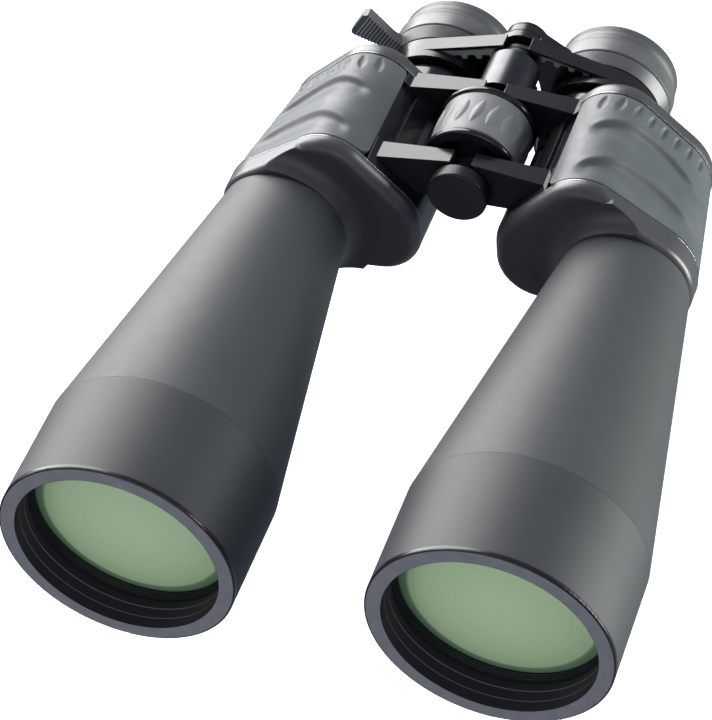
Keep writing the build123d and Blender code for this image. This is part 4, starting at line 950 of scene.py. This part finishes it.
def belt_loop(eye_r, hub_r):
    """The line that a belt takes round the eyepiece and the hinge axis, and the length of a straight run.

    Each item is (point, outward direction, place), where the place is counted along a straight run from
    the eyepiece and is None on a bend.
    """
    eye = Vector((EYE_X, EYE_Z))
    hub = Vector((0, HINGE_Z))
    reach = hub - eye
    heading = math.atan2(reach.y, reach.x)
    spread = math.asin((eye_r - hub_r) / reach.length)
    run = reach.length * math.cos(spread)
    steps = round(run / BELT_RUN_STEP)
    turns = (
        (eye, eye_r, heading + math.pi, math.pi / 2 + spread, BELT_EYE_STEPS),
        (hub, hub_r, heading, math.pi / 2 - spread, BELT_HUB_STEPS),
    )
    loop = []
    for middle, r, aim, half_turn, count in turns:
        for k in range(-count, count + 1):
            angle = aim + half_turn * k / count
            out = Vector((math.cos(angle), math.sin(angle)))
            loop.append((middle + out * r, out, None))
        begin = loop[-1][0]
        along = Vector((-out.y, out.x))
        for k in range(1, steps):
            gone = run * k / steps
            place = gone if middle is eye else run - gone
            loop.append((begin + along * run * k / steps, out, place))
    return loop, run


def tooth_height(place, run):
    """How far the belt's teeth stand in at a place on a straight run, counted from the eyepiece."""
    eye_margin = math.sqrt(2 * BELT_EYE_R * BELT_TOOTH_H) + BELT_TOOTH_W / 2
    hub_margin = math.sqrt(2 * BELT_HUB_R * BELT_TOOTH_H) + BELT_TOOTH_W / 2
    count = int((run - eye_margin - hub_margin) / BELT_PITCH) + 1
    nearest = min(count - 1, max(0, round((place - eye_margin) / BELT_PITCH)))
    away = abs(place - eye_margin - nearest * BELT_PITCH)
    return BELT_TOOTH_H * smooth((BELT_TOOTH_W / 2 - away) / BELT_TOOTH_FLANK)


def zoom_belt(side, body, y):
    """A moulded toothed belt, its teeth on the inside of its straight runs."""
    loop, run = belt_loop(BELT_EYE_R, BELT_HUB_R)
    rows = []
    for point, out, place in loop:
        low = -tooth_height(place, run) if place is not None else 0.0
        section = (
            (low + BELT_EDGE, y),
            (BELT_T - BELT_EDGE, y),
            (BELT_T, y + BELT_EDGE),
            (BELT_T, y + BELT_W - BELT_EDGE),
            (BELT_T - BELT_EDGE, y + BELT_W),
            (low + BELT_EDGE, y + BELT_W),
            (low, y + BELT_W - BELT_EDGE),
            (low, y + BELT_EDGE),
        )
        rows.append([(side * (point.x + out.x * h), dy, point.y + out.y * h) for h, dy in section])
    mesh = bmesh.new()
    grid(mesh, rows, close_u=True, close_v=True)
    name = half_name(side)
    piece = finish_mesh(name + "_toothed_belt", mesh, body, belt_rubber, 40)
    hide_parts(name + "_zoom_belt")


zoom_belt(1, "left_carriage", BELT_LEFT_Y)
zoom_belt(-1, "right_carriage", BELT_RIGHT_Y)

# Table, light and camera


def table():
    """A plain white light table. It glows, so that it stays pale, and it isn't mirrored in the part."""
    f = Finish("table_white")
    f.colour(f.ramp(f.noise(60.0, 2), (0.3, TABLE_TINTS[0]), (0.7, TABLE_TINTS[1])))
    f.set(Roughness=0.8, Emission_Color=(1, 1, 1, 1), Emission_Strength=TABLE_GLOW)
    mesh = bmesh.new()
    ends = (-TABLE_HALF, TABLE_HALF)
    grid(mesh, [[(x, y, -TABLE_DROP) for x in ends] for y in ends])
    data = bpy.data.meshes.new("table")
    mesh.to_mesh(data)
    mesh.free()
    top = bpy.data.objects.new("table", data)
    bpy.context.scene.collection.objects.link(top)
    data.materials.append(f.done())
    top.visible_diffuse = False
    top.visible_glossy = False
    top.visible_shadow = False


def softbox(name, azimuth, elevation, distance, size, radiance, colour):
    """A large soft lamp that faces the middle of the part."""
    turn, rise = math.radians(azimuth), math.radians(elevation)
    away = Vector((math.sin(turn) * math.cos(rise), math.cos(turn) * math.cos(rise), math.sin(rise)))
    data = bpy.data.lights.new(name, "AREA")
    data.shape = "RECTANGLE"
    data.size, data.size_y = size
    data.energy = radiance * math.pi * size[0] * size[1]
    data.color = colour
    lamp = bpy.data.objects.new(name, data)
    bpy.context.scene.collection.objects.link(lamp)
    lamp.location = away * distance
    lamp.rotation_euler = (-away).to_track_quat("-Z", "Y").to_euler()


def studio():
    """Dim light all round, a large lamp behind on the left, a low one on the right, a weak one in front."""
    world = bpy.data.worlds.new("studio")
    bpy.context.scene.world = world
    world.use_nodes = True
    sky = world.node_tree.nodes["Background"]
    sky.inputs["Color"].default_value = SKY
    sky.inputs["Strength"].default_value = SKY_STRENGTH
    for lamp in LAMPS:
        softbox(*lamp)


def camera():
    """The camera of the photograph."""
    data = bpy.data.cameras.new("camera")
    data.sensor_width = CAMERA_SENSOR
    data.lens = CAMERA_LENS
    eye = bpy.data.objects.new("camera", data)
    bpy.context.scene.collection.objects.link(eye)
    turn = Matrix((CAMERA_RIGHT, -Vector(CAMERA_DOWN), -Vector(CAMERA_AHEAD))).transposed().to_4x4()
    eye.matrix_world = OPTICAL @ Matrix.Translation(Vector(CAMERA_AT) * MM) @ turn
    bpy.context.scene.camera = eye


table()
studio()
camera()
bpy.context.scene.view_settings.view_transform = "Standard"

bpy.context.view_layer.update()
